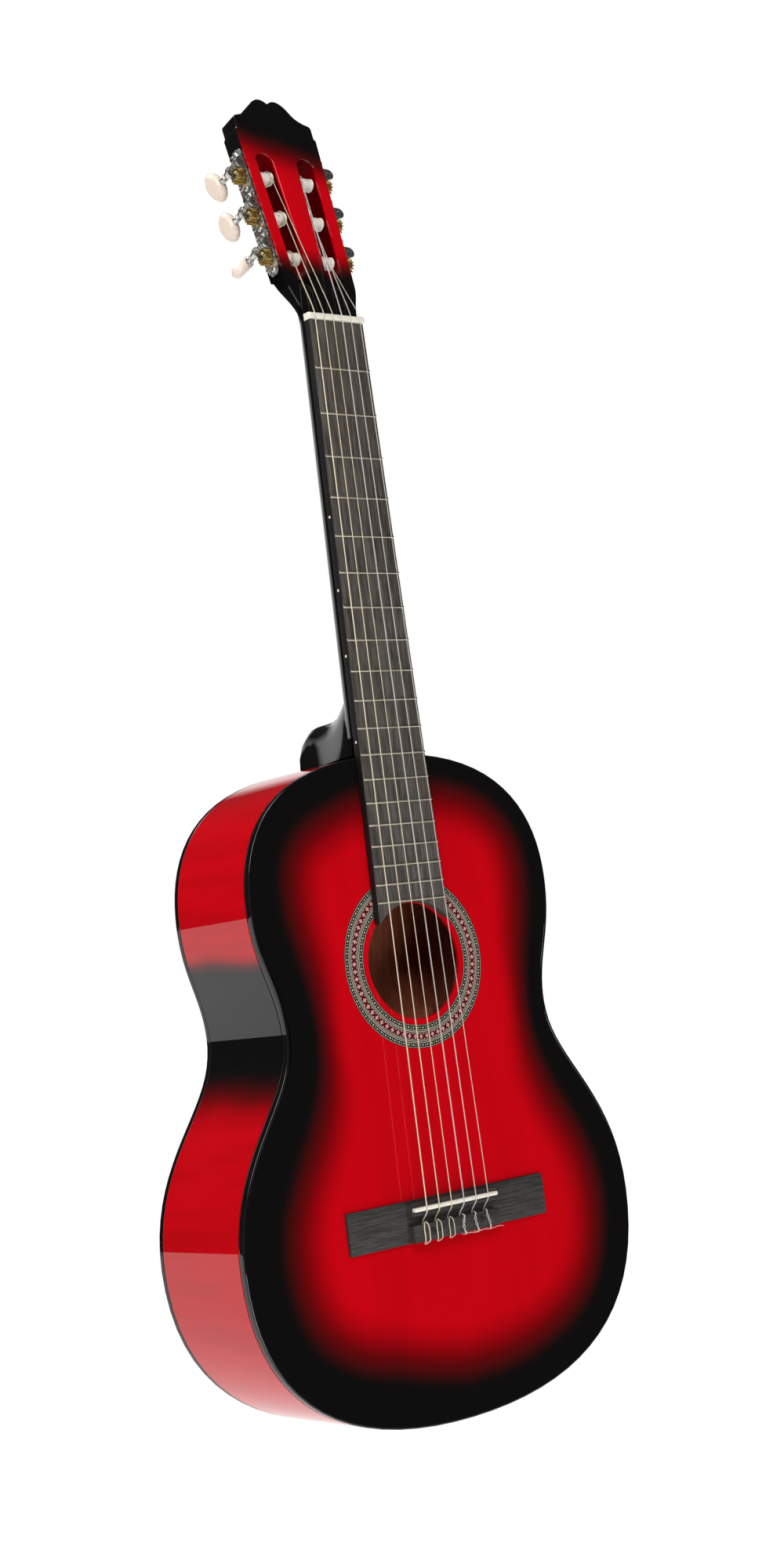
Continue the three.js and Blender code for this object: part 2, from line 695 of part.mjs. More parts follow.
function headSlab() {
  const corner = headEdge(CROWN_START);
  const notch = corner - 1;
  const shape = new THREE.Shape();
  const half = [
    (s) => s.lineTo(corner, CROWN_START - 0.6),
    (s) => s.lineTo(notch, CROWN_START + 0.4),
    (s) => s.lineTo(notch, CROWN_START + 9),
    (s) => s.quadraticCurveTo(notch, 177.6, 33, 178.2),
    (s) => s.bezierCurveTo(26, 180, 22, 183, 19, 187.5),
    (s) => s.bezierCurveTo(16, 192, 11, 196.6, 6, CROWN_TOP),
    (s) => s.quadraticCurveTo(2.5, 195, 0, CROWN_TOP - 3.2),
  ];
  shape.moveTo(0, HEAD_START);
  shape.lineTo(headEdge(HEAD_START), HEAD_START);
  half.forEach((draw) => draw(shape));
  const treble = shape.getPoints(5);
  const bass = treble.slice(1, -1).reverse().map(({ x, y }) => new THREE.Vector2(-x, y));
  return inHead(slab(new THREE.Shape([...treble, ...bass]), 0, HEAD_THICKNESS));
}

// Everything that is cut out of one side of the head: the string slot, the ramp that
// leads into it, and the three bearings of the rollers.
function headCuts(side) {
  const radius = (SLOT.inner - SLOT.outer) / 2;
  const middle = side * -(SLOT.inner + SLOT.outer) / 2;
  const slotShape = new THREE.Shape();
  slotShape.absarc(middle, SLOT.top - radius, radius, 0, Math.PI, false);
  slotShape.absarc(middle, SLOT.bottom + radius, radius, Math.PI, 2 * Math.PI, false);
  const slot = slab(slotShape, -2, HEAD_THICKNESS + 6, 8);
  const rampStart = SLOT.bottom - 9;
  const ramp = sideSlab(polygon([
    [-2, rampStart - 2], [6.5, SLOT.bottom + radius], [-2, SLOT.bottom + radius],
  ]), middle - radius + 2, middle + radius - 2);
  const cuts = [slot, ramp];
  for (let place = 0; place < TUNER.count; place += 1) {
    const up = place * TUNER.spacing;
    const wall = cylinderAlongX(ROLLER.shaft + 0.5, side * 4, side * -(SLOT.outer + 2));
    const bearing = cylinderAlongX(ROLLER.stub + 0.5, side * -(SLOT.inner - 2),
      side * -(SLOT.inner + ROLLER.stubLength + 1));
    cuts.push(wall.translate(0, TUNER.depth, up), bearing.translate(0, TUNER.depth, up));
  }
  return cuts.map((tool) => inHead(tool, side));
}

function neck() {
  return cut(joined([shaft(), heel(), headSlab()]), [...headCuts(-1), ...headCuts(1)]);
}

// ---------------------------------------------------------------- tuners

function tunerPlate(side) {
  const { halfHeight, bottom, top, thickness } = TUNER_PLATE;
  const shape = new THREE.Shape();
  const shoulder = 9;
  const tip = 2.6;
  shape.moveTo(TUNER.depth - halfHeight, bottom + shoulder);
  shape.quadraticCurveTo(TUNER.depth - halfHeight, bottom + 3, TUNER.depth - tip, bottom);
  shape.lineTo(TUNER.depth + tip, bottom);
  shape.quadraticCurveTo(TUNER.depth + halfHeight, bottom + 3, TUNER.depth + halfHeight,
    bottom + shoulder);
  shape.lineTo(TUNER.depth + halfHeight, top - shoulder);
  shape.quadraticCurveTo(TUNER.depth + halfHeight, top - 3, TUNER.depth + tip, top);
  shape.lineTo(TUNER.depth - tip, top);
  shape.quadraticCurveTo(TUNER.depth - halfHeight, top - 3, TUNER.depth - halfHeight,
    top - shoulder);
  const inner = side * GAP;
  const outer = side * (GAP + thickness);
  const pieces = [sideSlab(shape, Math.min(inner, outer), Math.max(inner, outer))];
  const holes = [];
  for (let place = 0; place < TUNER.count; place += 1) {
    const up = place * TUNER.spacing;
    holes.push(cylinderAlongX(ROLLER.shaft + 0.4, -4, 4).translate(0, TUNER.depth, up));
    [frontLugY(), backLugY()].forEach((y) => {
      pieces.push(lug(side).translate(0, y, up + WORM_OFFSET));
    });
    holes.push(cylinderAlongY(LUG.hole, 0, HEAD_THICKNESS)
      .translate(side * GEAR.out, 0, up + WORM_OFFSET));
  }
  return cut(joined(pieces), holes);
}

function frontLugY() {
  return TUNER.depth - WORM.length / 2 - 1 - LUG.thickness;
}

function backLugY() {
  return TUNER.depth + WORM.length / 2 + 1;
}

// A tab that stands out of the plate and carries one end of a worm.
function lug(side) {
  const shape = new THREE.Shape();
  shape.moveTo(0.5, -LUG.radius);
  shape.lineTo(GEAR.out, -LUG.radius);
  shape.absarc(GEAR.out, 0, LUG.radius, -Math.PI / 2, Math.PI / 2, false);
  shape.lineTo(0.5, LUG.radius);
  const geometry = slab(shape, 0, LUG.thickness, 5);
  return side > 0 ? geometry : geometry.rotateZ(Math.PI).translate(0, LUG.thickness, 0);
}

// Ring of teeth that lean by the worm's lead angle.
function gear() {
  const stations = 5;
  const twist = (GEAR.thickness * Math.tan(LEAD_ANGLE)) / GEAR.pitchRadius;
  const toothProfile = [
    [-0.26, GEAR.rootRadius], [-0.1, GEAR.tipRadius], [0.1, GEAR.tipRadius],
    [0.26, GEAR.rootRadius],
  ];
  const outer = Array.from({ length: GEAR.teeth }, (_, tooth) => toothProfile
    .map(([share, radius]) => [(2 * Math.PI * (tooth + share)) / GEAR.teeth, radius])).flat();
  const rings = Array.from({ length: stations }, (_, i) => {
    const along = i / (stations - 1) - 0.5;
    return outer.map(([angle, radius]) => {
      const turned = angle + Math.PI / 2 + twist * along;
      return new THREE.Vector3(along * GEAR.thickness, radius * Math.cos(turned),
        radius * Math.sin(turned));
    });
  });
  const bore = cylinderAlongX(GEAR.bore, -GEAR.thickness, GEAR.thickness, 12);
  return cut(loft(rings), [bore]);
}

// Shaft and thread in one piece. The thread is a ridge that winds round the core.
function worm() {
  const perTurn = 9;
  const turns = WORM.length / WORM_PITCH - 1;
  const steps = Math.round(perTurn * turns);
  const foot = WORM.coreRadius - 0.4;
  const rings = Array.from({ length: steps + 1 }, (_, i) => {
    const turn = (i / perTurn) - turns / 2;
    const angle = 2 * Math.PI * turn;
    const middle = WORM_PITCH * turn;
    const profile = [[foot, -0.85], [WORM.tipRadius, -0.28], [WORM.tipRadius, 0.28], [foot, 0.85]];
    return profile.map(([radius, offset]) => new THREE.Vector3(
      radius * Math.sin(angle), TUNER.depth + middle + offset, radius * Math.cos(angle)));
  });
  const collar = cylinderAlongY(2.9, backLugY() + LUG.thickness + GAP, 20.5, 10);
  const ferrule = cylinderAlongY(2.6, BUTTON.near - 4, BUTTON.near - GAP, 10);
  const core = cylinderAlongY(WORM.coreRadius, frontLugY() + 0.2, BUTTON.near - GAP, 8);
  return joined([core, loft(rings), collar, ferrule]);
}

// A flat oval grip with rounded edges.
function button() {
  const half = BUTTON.thickness / 2;
  const rim = BUTTON.width / 2;
  const profile = [
    [0, -half], [rim - 3.2, -half], [rim - 0.9, -half + 2], [rim, 0],
    [rim - 0.9, half - 2], [rim - 3.2, half], [0, half],
  ].map(([radius, height]) => new THREE.Vector2(radius, height));
  return new THREE.LatheGeometry(profile, 16)
    .rotateZ(Math.PI / 2)
    .scale(1, BUTTON.length / BUTTON.width, 1)
    .translate(0, BUTTON.near + BUTTON.length / 2, 0);
}

// The post: a stub in the head's middle bar, the barrel in the slot, the shaft through
// the wall and the plate, and the screw that holds the gear.
function roller(side) {
  const gearIn = GEAR.out - GEAR.thickness / 2;
  const gearOut = GEAR.out + GEAR.thickness / 2;
  const profile = [
    [0, -SLOT.inner - ROLLER.stubLength], [ROLLER.stub, -SLOT.inner - ROLLER.stubLength],
    [ROLLER.stub, -SLOT.inner + GAP], [ROLLER.barrel, -SLOT.inner + GAP],
    [ROLLER.barrel, -SLOT.outer - GAP], [ROLLER.shaft, -SLOT.outer - GAP],
    [ROLLER.shaft, gearIn - GAP], [ROLLER.tip, gearIn - GAP], [ROLLER.tip, gearOut + GAP],
    [ROLLER.screw, gearOut + GAP], [ROLLER.screw, gearOut + 1.3], [0, gearOut + 1.3],
  ].map(([radius, out]) => new THREE.Vector2(radius, out));
  return new THREE.LatheGeometry(profile, 12).rotateZ(-side * Math.PI / 2);
}

function tunerOf(number) {
  const side = number <= TUNER.count ? 1 : -1;
  const place = side > 0 ? number - 1 : 2 * TUNER.count - number;
  return { side, place };
}

function headGroup() {
  const group = new THREE.Group();
  group.rotation.x = -HEAD_TILT;
  group.position.y = HEAD_FRONT;
  guitar.add(group);
  return group;
}

function sideGroup(side, parent) {
  const group = new THREE.Group();
  group.rotation.y = side * HEAD_SPLAY;
  group.position.set(side * TUNER.edge, 0, TUNER.first);
  parent.add(group);
  return group;
}

function addTuners() {
  const head = headGroup();
  const groups = { 1: sideGroup(1, head), [-1]: sideGroup(-1, head) };
  add("tuner_plate_treble", tunerPlate(1), CHROME(), groups[1]);
  add("tuner_plate_bass", tunerPlate(-1), CHROME(), groups[-1]);
  stringNumbers().forEach((number) => {
    const { side, place } = tunerOf(number);
    const post = new THREE.Group();
    post.position.set(0, TUNER.depth, place * TUNER.spacing);
    groups[side].add(post);
    add(`roller_${number}`, roller(side), IVORY(), post);
    add(`gear_${number}`, gear().translate(side * GEAR.out, 0, 0), BRASS(), post);
    const key = new THREE.Group();
    key.position.set(side * GEAR.out, 0, place * TUNER.spacing + WORM_OFFSET);
    groups[side].add(key);
    add(`worm_${number}`, worm(), CHROME(), key);
    const turned = button().rotateY(THREE.MathUtils.degToRad(BUTTON_TURNS[number - 1]));
    add(`button_${number}`, turned, IVORY(), key);
  });
}

// ---------------------------------------------------------------- strings

// Where a string meets its roller: the outer pair lands in the middle of the barrel and
// the others near its inner end.
function rollerPoint(number, diameter) {
  const { side, place } = tunerOf(number);
  const across = place === 0 ? SLOT.outer + 6.5 : SLOT.inner - 2.6;
  const lift = ROLLER.barrel + diameter / 2 + GAP;
  return new THREE.Vector3(-side * across, TUNER.depth - lift, place * TUNER.spacing - 1)
    .applyMatrix4(sideFrame(side))
    .applyMatrix4(HEAD_FRAME);
}

function guitarString(number) {
  const diameter = STRING_DIAMETERS[number - 1];
  const atSaddle = stringX(number, SADDLE_SPACING);
  const atNut = stringX(number, NUT_SPACING);
  const half = diameter / 2;
  const saddleTop = STRING_AT_SADDLE + 0.9 - half;
  const nutTop = NUT.top - GAP - half;
  return bar([
    new THREE.Vector3(atSaddle, -BRIDGE.tieHoleHeight, BRIDGE.bottom - 1.5),
    new THREE.Vector3(atSaddle, -BRIDGE.tieHoleHeight, BRIDGE.channelBottom),
    new THREE.Vector3(atSaddle, saddleTop + 0.6, SADDLE.z - 2.4),
    new THREE.Vector3(atSaddle, saddleTop, SADDLE.z - 0.8),
    new THREE.Vector3(atSaddle, saddleTop, SADDLE.z + 0.8),
    new THREE.Vector3(atNut, nutTop, 1),
    new THREE.Vector3(atNut, nutTop, NUT.thickness - 1),
    rollerPoint(number, diameter),
  ], half);
}

function addStrings() {
  stringNumbers().forEach((number) => {
    add(`string_${number}`, guitarString(number), number <= 3 ? NYLON() : WOUND());
  });
}

// ---------------------------------------------------------------- the whole guitar

addBody();
add("neck", neck(), LACQUER_BLACK());
add("fretboard", fretboard(), DARK_WOOD());
add("nut", nut(), IVORY());
add("bridge", bridge(), DARK_WOOD());
add("saddle", saddle(), IVORY());
addStrings();
addTuners();

export default guitar;
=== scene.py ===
"""Looks of a six-string classical guitar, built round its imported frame.

Frame, in metres: +Z runs up the neck, +X points to the treble side, +Y to the back. The
origin is on the centre line, on the soundboard's front plane, at the nut's front edge.
"""
import json
import math

import bpy
from bpy.props import FloatProperty, FloatVectorProperty, IntProperty, PointerProperty
from mathutils import Matrix, Vector


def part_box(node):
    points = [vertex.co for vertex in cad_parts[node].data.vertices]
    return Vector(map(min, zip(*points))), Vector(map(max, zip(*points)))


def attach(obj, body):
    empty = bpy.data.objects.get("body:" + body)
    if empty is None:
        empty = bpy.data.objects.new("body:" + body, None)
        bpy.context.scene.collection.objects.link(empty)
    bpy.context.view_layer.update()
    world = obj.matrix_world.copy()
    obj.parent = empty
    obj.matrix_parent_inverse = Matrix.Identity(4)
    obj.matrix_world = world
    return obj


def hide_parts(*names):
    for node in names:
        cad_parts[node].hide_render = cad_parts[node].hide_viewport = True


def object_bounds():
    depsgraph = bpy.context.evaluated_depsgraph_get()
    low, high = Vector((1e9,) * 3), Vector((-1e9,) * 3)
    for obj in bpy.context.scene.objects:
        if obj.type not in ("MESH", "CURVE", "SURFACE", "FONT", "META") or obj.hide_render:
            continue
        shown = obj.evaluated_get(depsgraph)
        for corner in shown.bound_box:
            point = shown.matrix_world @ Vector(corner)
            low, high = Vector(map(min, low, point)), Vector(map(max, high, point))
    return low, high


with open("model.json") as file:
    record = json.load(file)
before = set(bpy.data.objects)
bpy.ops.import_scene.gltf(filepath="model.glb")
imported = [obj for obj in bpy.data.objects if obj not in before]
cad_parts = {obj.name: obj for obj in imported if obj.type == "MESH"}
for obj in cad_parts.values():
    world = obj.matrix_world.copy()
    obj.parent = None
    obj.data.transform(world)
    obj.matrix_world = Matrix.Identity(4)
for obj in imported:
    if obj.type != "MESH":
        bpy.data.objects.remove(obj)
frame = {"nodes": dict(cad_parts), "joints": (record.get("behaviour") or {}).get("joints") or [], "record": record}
CAD_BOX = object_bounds()

bl_info = {
    "name": "Classical guitar",
    "version": (1, 0, 0),
    "blender": (4, 5, 0),
    "location": "3D View > Sidebar > Guitar",
    "description": "Models and paints a classical guitar round its packed frame",
    "category": "Object",
}

MM = 0.001
JOINTS = {joint["name"]: joint for joint in frame["joints"]}
MOUNTS = {mount["name"]: mount for mount in frame["record"]["mounts"]}
STRINGS = range(1, 7)
BODY = "instrument"

# The head's own directions: across, behind its front face, and up its centre line.
ACROSS = Vector((1, 0, 0))
HEAD_BACK = Vector(JOINTS["key_1_turn"]["axis"])
HEAD_UP = ACROSS.cross(HEAD_BACK)
CLIP = Vector(MOUNTS["clip_front"]["pos_m"])
HEAD_ORIGIN = CLIP - HEAD_UP * (CLIP.z / HEAD_UP.z)


def low(node):
    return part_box(node)[0]


def high(node):
    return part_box(node)[1]


# ------------------------------------------------------------------ bench


def deselect():
    """Leaves object mode with nothing selected."""
    if bpy.context.object and bpy.context.object.mode != "OBJECT":
        bpy.ops.object.mode_set(mode="OBJECT")
    bpy.ops.object.select_all(action="DESELECT")


def pick(piece):
    """Selects one piece and makes it active."""
    deselect()
    piece.select_set(True)
    bpy.context.view_layer.objects.active = piece
    return piece


def edit(piece, choose="SELECT"):
    """Opens a piece in edit mode, with all of it selected or none of it."""
    pick(piece)
    bpy.ops.object.mode_set(mode="EDIT")
    bpy.ops.mesh.select_all(action=choose)


def close():
    bpy.ops.object.mode_set(mode="OBJECT")


def choose_faces(piece, test):
    """Opens a piece in edit mode with only the faces that pass the test selected."""
    edit(piece, "DESELECT")
    bpy.ops.mesh.select_mode(type="FACE")
    close()
    for face in piece.data.polygons:
        face.select = test(face)
    bpy.ops.object.mode_set(mode="EDIT")


def active(name):
    """Names the piece that an operator has just added."""
    piece = bpy.context.object
    piece.name = name
    piece.data.name = name
    return piece


def modify(piece, kind, **settings):
    """Adds a modifier and applies it."""
    pick(piece)
    modifier = piece.modifiers.new(kind.title(), kind)
    for key, value in settings.items():
        setattr(modifier, key, value)
    bpy.ops.object.modifier_apply(modifier=modifier.name)
    return piece


def rounded(piece, width, segments=2, angle=40):
    """Rounds the sharp edges and shades the rest smooth."""
    modify(piece, "BEVEL", width=width, segments=segments, limit_method="ANGLE",
           angle_limit=math.radians(angle), use_clamp_overlap=True, harden_normals=False)
    return smooth(piece, angle)


def smooth(piece, angle=35):
    pick(piece)
    bpy.ops.object.shade_smooth_by_angle(angle=math.radians(angle))
    return piece


def cut(piece, tool):
    """Takes a tool's shape out of a piece and throws the tool away."""
    modify(piece, "BOOLEAN", operation="DIFFERENCE", object=tool, solver="EXACT")
    bpy.data.objects.remove(tool)
    return piece


def copy_node(node, name):
    """A copy of a CAD node with its loose triangles joined into quads where they are flat."""
    deselect()
    piece = bpy.data.objects.new(name, frame["nodes"][node].data.copy())
    bpy.context.scene.collection.objects.link(piece)
    piece.data.materials.clear()
    edit(piece)
    bpy.ops.mesh.customdata_custom_splitnormals_clear()
    bpy.ops.mesh.remove_doubles(threshold=0.005 * MM)
    bpy.ops.mesh.tris_convert_to_quads(face_threshold=math.radians(8),
                                       shape_threshold=math.radians(60))
    close()
    return piece


def moved(piece, matrix):
    piece.data.transform(matrix)
    return piece


def settle(piece):
    """Puts a piece's place into its mesh, so that its object sits unturned at the origin."""
    pick(piece)
    bpy.ops.object.transform_apply(location=True, rotation=True, scale=True)
    return piece


def block(name, lowest, highest):
    """A box between two corners."""
    deselect()
    bpy.ops.mesh.primitive_cube_add(size=1, location=[(a + b) / 2 for a, b in zip(lowest, highest)])
    piece = active(name)
    piece.scale = [b - a for a, b in zip(lowest, highest)]
    return settle(piece)


def rod(name, radius, start, end, sides=24):
    """A round bar between two points."""
    deselect()
    start, end = Vector(start), Vector(end)
    run = end - start
    bpy.ops.mesh.primitive_cylinder_add(vertices=sides, radius=radius, depth=run.length,
                                        location=(start + end) / 2,
                                        rotation=run.to_track_quat("Z", "Y").to_euler())
    return settle(active(name))


def turned(name, profile, axis, sides=40):
    """Spins a row of (radius, distance along the axis) round an axis through the origin."""
    deselect()
    direction = {"X": Vector((1, 0, 0)), "Y": Vector((0, 1, 0)), "Z": Vector((0, 0, 1))}[axis]
    aside = {"X": Vector((0, 0, 1)), "Y": Vector((0, 0, 1)), "Z": Vector((1, 0, 0))}[axis]
    mesh = bpy.data.meshes.new(name)
    points = [aside * radius + direction * along for radius, along in profile]
    mesh.from_pydata(points, [(i, i + 1) for i in range(len(points) - 1)], [])
    piece = bpy.data.objects.new(name, mesh)
    bpy.context.scene.collection.objects.link(piece)
    edit(piece)
    bpy.ops.mesh.spin(steps=sides, angle=math.tau, center=(0, 0, 0), axis=direction)
    bpy.ops.mesh.select_all(action="SELECT")
    bpy.ops.mesh.remove_doubles(threshold=0.002 * MM)
    bpy.ops.mesh.normals_make_consistent(inside=False)
    close()
    return piece


def tube(name, points, radius, sides=3, curved=True, resolution=6):
    """A round wire along a row of points, closed at both ends."""
    deselect()
    curve = bpy.data.curves.new(name, "CURVE")
    curve.dimensions = "3D"
    curve.bevel_depth = radius
    curve.bevel_resolution = sides
    curve.use_fill_caps = True
    curve.resolution_u = resolution
    spline = curve.splines.new("BEZIER" if curved else "POLY")
    knots = spline.bezier_points if curved else spline.points
    knots.add(len(points) - 1)
    for knot, point in zip(knots, points):
        if curved:
            knot.co = point
            knot.handle_left_type = knot.handle_right_type = "AUTO"
        else:
            knot.co = (*point, 1)
    piece = bpy.data.objects.new(name, curve)
    bpy.context.scene.collection.objects.link(piece)
    pick(piece)
    bpy.ops.object.convert(target="MESH")
    piece = bpy.context.object
    edit(piece)
    bpy.ops.mesh.remove_doubles(threshold=0.001 * MM)
    bpy.ops.mesh.normals_make_consistent(inside=False)
    close()
    bpy.ops.object.shade_smooth()
    return piece


def together(name, pieces):
    """Joins several pieces into one."""
    deselect()
    for piece in pieces:
        piece.select_set(True)
    bpy.context.view_layer.objects.active = pieces[0]
    bpy.ops.object.join()
    return active(name)


def finish(piece, body, slot, paint, *nodes):
    """Gives a finished piece its material and its body, and hides the nodes it stands for. The slot argument is
    not used.
    """
    deselect()
    piece.data.materials.clear()
    piece.data.materials.append(paint)
    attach(piece, body)
    if nodes:
        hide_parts(*nodes)
    return piece


def repaint(node, paint):
    """Gives a CAD node that stays in view a better material."""
    for holder in frame["nodes"][node].material_slots:
        holder.material = paint


# ------------------------------------------------------------------ paint


class Signal:
    """A shader socket that takes part in plain arithmetic."""

    def __init__(self, paint, socket):
        self.paint = paint
        self.socket = socket

    def sum_of(self, operation, *values, **settings):
        node = self.paint.node("ShaderNodeMath", {"operation": operation, **settings},
                               dict(enumerate(values)))
        return Signal(self.paint, node.outputs[0])

    def __add__(self, other):
        return self.sum_of("ADD", self, other)

    __radd__ = __add__

    def __sub__(self, other):
        return self.sum_of("SUBTRACT", self, other)

    def __rsub__(self, other):
        return self.sum_of("SUBTRACT", other, self)

    def __mul__(self, other):
        return self.sum_of("MULTIPLY", self, other)

    __rmul__ = __mul__

    def __truediv__(self, other):
        return self.sum_of("DIVIDE", self, other)

    def __pow__(self, other):
        return self.sum_of("POWER", self, other)

    def size(self):
        return self.sum_of("ABSOLUTE", self)

    def part(self):
        return self.sum_of("FRACT", self)

    def wave(self):
        return self.sum_of("SINE", self)

    def most(self, other):
        return self.sum_of("MAXIMUM", self, other)

    def above(self, other):
        return self.sum_of("GREATER_THAN", self, other)

    def ramp(self, start, end, low=0.0, high=1.0, kind="SMOOTHSTEP"):
        """Goes from low at start to high at end, smoothly unless kind says otherwise."""
        node = self.paint.node("ShaderNodeMapRange", {"interpolation_type": kind}, {
            "Value": self, "From Min": start, "From Max": end, "To Min": low, "To Max": high})
        return Signal(self.paint, node.outputs[0])

    def band(self, low, high, soft):
        """1 between low and high, with soft ends."""
        return self.ramp(low - soft, low + soft) * self.ramp(high + soft, high - soft)


class Paint:
    """A node material with one principled shader."""

    def __init__(self, name, **constants):
        self.material = bpy.data.materials.new(name)
        self.material.use_nodes = True
        self.nodes = self.material.node_tree.nodes
        self.links = self.material.node_tree.links
        self.nodes.clear()
        self.shader = self.nodes.new("ShaderNodeBsdfPrincipled")
        end = self.nodes.new("ShaderNodeOutputMaterial")
        self.links.new(self.shader.outputs[0], end.inputs[0])
        self.give(**constants)

    def node(self, kind, settings, values):
        """Adds a node: its settings first, then the values or links of its sockets."""
        node = self.nodes.new(kind)
        for key, value in settings.items():
            setattr(node, key, value)
        for key, value in values.items():
            self.plug(node.inputs[key], value)
        return node

    def plug(self, socket, value):
        if isinstance(value, Signal):
            self.links.new(value.socket, socket)
        else:
            socket.default_value = value

    def give(self, **values):
        """Sets or links the shader's own sockets, named in lower case."""
        for key, value in values.items():
            socket = self.shader.inputs[key.replace("_", " ").title().replace("Ior", "IOR")]
            if isinstance(value, tuple) and len(value) == 3 and "olor" in socket.name:
                value = (*value, 1)
            self.plug(socket, value)

    def place(self):
        """x, y and z on the object, in metres."""
        source = self.node("ShaderNodeTexCoord", {}, {})
        split = self.node("ShaderNodeSeparateXYZ", {}, {0: Signal(self, source.outputs["Object"])})
        return [Signal(self, output) for output in split.outputs]

    def attribute(self, name):
        node = self.node("ShaderNodeAttribute", {"attribute_name": name}, {})
        return Signal(self, node.outputs["Fac"])

    def vector(self, x, y, z):
        node = self.node("ShaderNodeCombineXYZ", {}, {0: x, 1: y, 2: z})
        return Signal(self, node.outputs[0])

    def noise(self, scale, detail=3.0, rough=0.5, stretch=(1, 1, 1)):
        """Even noise on the object, pulled longer along an axis by a small stretch value."""
        x, y, z = self.place()
        at = self.vector(x * stretch[0], y * stretch[1], z * stretch[2])
        node = self.node("ShaderNodeTexNoise", {}, {
            "Vector": at, "Scale": scale, "Detail": detail, "Roughness": rough})
        return Signal(self, node.outputs[0])

    def blend(self, amount, first, second):
        """Mixes two colours."""
        node = self.node("ShaderNodeMix", {"data_type": "RGBA"}, {"Factor": amount})
        for socket, colour in zip((node.inputs[6], node.inputs[7]), (first, second)):
            self.plug(socket, (*colour, 1) if isinstance(colour, tuple) else colour)
        return Signal(self, node.outputs[2])

    def bump(self, height, distance, strength=1.0):
        node = self.node("ShaderNodeBump", {}, {
            "Height": height, "Distance": distance, "Strength": strength})
        self.give(normal=Signal(self, node.outputs[0]))

    def head_place(self):
        """Distance up the head and distance behind its front face."""
        _, y, z = self.place()
        up = y * HEAD_UP.y + z * HEAD_UP.z - HEAD_ORIGIN.dot(HEAD_UP)
        behind = y * HEAD_BACK.y + z * HEAD_BACK.z - HEAD_ORIGIN.dot(HEAD_BACK)
        return up, behind


class Backdrop(Paint):
    """The world's nodes, written in the same way as a material's."""

    def __init__(self, world):
        world.use_nodes = True
        self.nodes = world.node_tree.nodes
        self.links = world.node_tree.links
        self.nodes.clear()

    def toward(self):
        """x, y and z of the direction looked in."""
        source = self.node("ShaderNodeTexCoord", {}, {})
        split = self.node("ShaderNodeSeparateXYZ", {},
                          {0: Signal(self, source.outputs["Generated"])})
        return [Signal(self, output) for output in split.outputs]

    def white(self, strength):
        """White light of one strength."""
        node = self.node("ShaderNodeBackground", {}, {
            "Color": (1, 1, 1, 1), "Strength": strength})
        return Signal(self, node.outputs[0])


def lacquer(name, **constants):
    """Clear gloss over colour: a hard coat, with the faintest waves from spraying."""
    paint = Paint(name, roughness=0.5, coat_weight=1.0, coat_roughness=0.025, coat_ior=1.5,
                  specular_ior_level=0.0, **constants)
    paint.bump(paint.noise(45, 2.0), 0.00012, 0.5)
    return paint


def burst_paint(colours, sizes):
    """Red in the middle that goes to black round the edge."""
    paint = lacquer("burst_lacquer")
    speck = paint.noise(900, 2.0) - 0.5
    cloud = paint.noise(9, 2.0) - 0.5
    edge = paint.attribute("burst") + speck * 0.03 + cloud * 0.08
    inner = paint.blend(paint.noise(5, 2.0, 0.5, (6, 6, 1)).ramp(0.3, 0.7),
                        tuple(colours.red), tuple(c * 0.9 for c in colours.red))
    dark = paint.blend(edge.ramp(0.0, 0.62), tuple(colours.black), tuple(colours.red_shade))
    paint.give(base_color=paint.blend(edge.ramp(0.35, 1.0), dark, inner))
    return paint.material


def side_paint(colours, sizes):
    """Red sides, with black painted round the waist as a painted dark reflection."""
    paint = lacquer("side_lacquer")
    _, _, z = paint.place()
    cloud = (paint.noise(12, 2.0) - 0.5) * 0.012
    z = z + cloud
    # Painted dark reflection: a band of black on the sides round the waist, where the concave sides mirror the
    # dark room.
    black = z.ramp(-0.588, -0.534) * z.ramp(-0.450, -0.474)
    figure = paint.noise(7, 3.0, 0.55, (1, 1, 9)).ramp(0.35, 0.7)
    red = paint.blend(figure, tuple(colours.red), tuple(c * 0.86 for c in colours.red))
    mid = paint.blend(black.ramp(0.0, 0.7), red, tuple(colours.red_shade))
    paint.give(base_color=paint.blend(black.ramp(0.35, 1.0), mid, tuple(colours.black)))
    return paint.material


def black_paint(colours, sizes):
    paint = lacquer("black_lacquer")
    tone = paint.noise(30, 2.0).ramp(0.3, 0.7)
    paint.give(base_color=paint.blend(tone, tuple(colours.black),
                                      tuple(c * 1.6 for c in colours.black)))
    return paint.material


def neck_paint(colours, sizes):
    """Black neck, with a red head that goes back to black at its crown and its foot, and painted shade on the
    walls of its string slots.
    """
    paint = lacquer("neck_lacquer")
    x, _, _ = paint.place()
    up, behind = paint.head_place()
    cloud = (paint.noise(25, 2.0) - 0.5) * 0.012
    height = up + cloud
    crown = 0.157 - x * 0.22
    head = height.ramp(0.036, 0.070) * (height - crown).ramp(0.012, -0.040)
    outside = x.size().ramp(0.0290, 0.0300)
    face = (1.0 - behind.ramp(0.0004, 0.0016) * outside) * behind.ramp(0.0176, 0.0168)
    # slot: the walls inside the string slots, whose red is darkened as painted shade in the deep slots.
    slot = behind.ramp(0.0010, 0.0026) * (1.0 - outside)
    red = head * face
    throat = height.ramp(0.000, 0.008) * height.ramp(0.050, 0.044) * behind.ramp(0.0010, 0.0020)
    paint.give(coat_weight=1.0 - throat.most(slot * height.ramp(0.045, 0.050)) * 0.97)
    mid = paint.blend(red.ramp(0.0, 0.6), tuple(colours.black), tuple(colours.red_shade))
    # Painted shade: the slot walls take a dark red in place of the head's bright red.
    bright = paint.blend(slot, tuple(colours.red), tuple(c * 0.35 for c in colours.red_shade))
    paint.give(base_color=paint.blend(red.ramp(0.3, 1.0), mid, bright))
    return paint.material


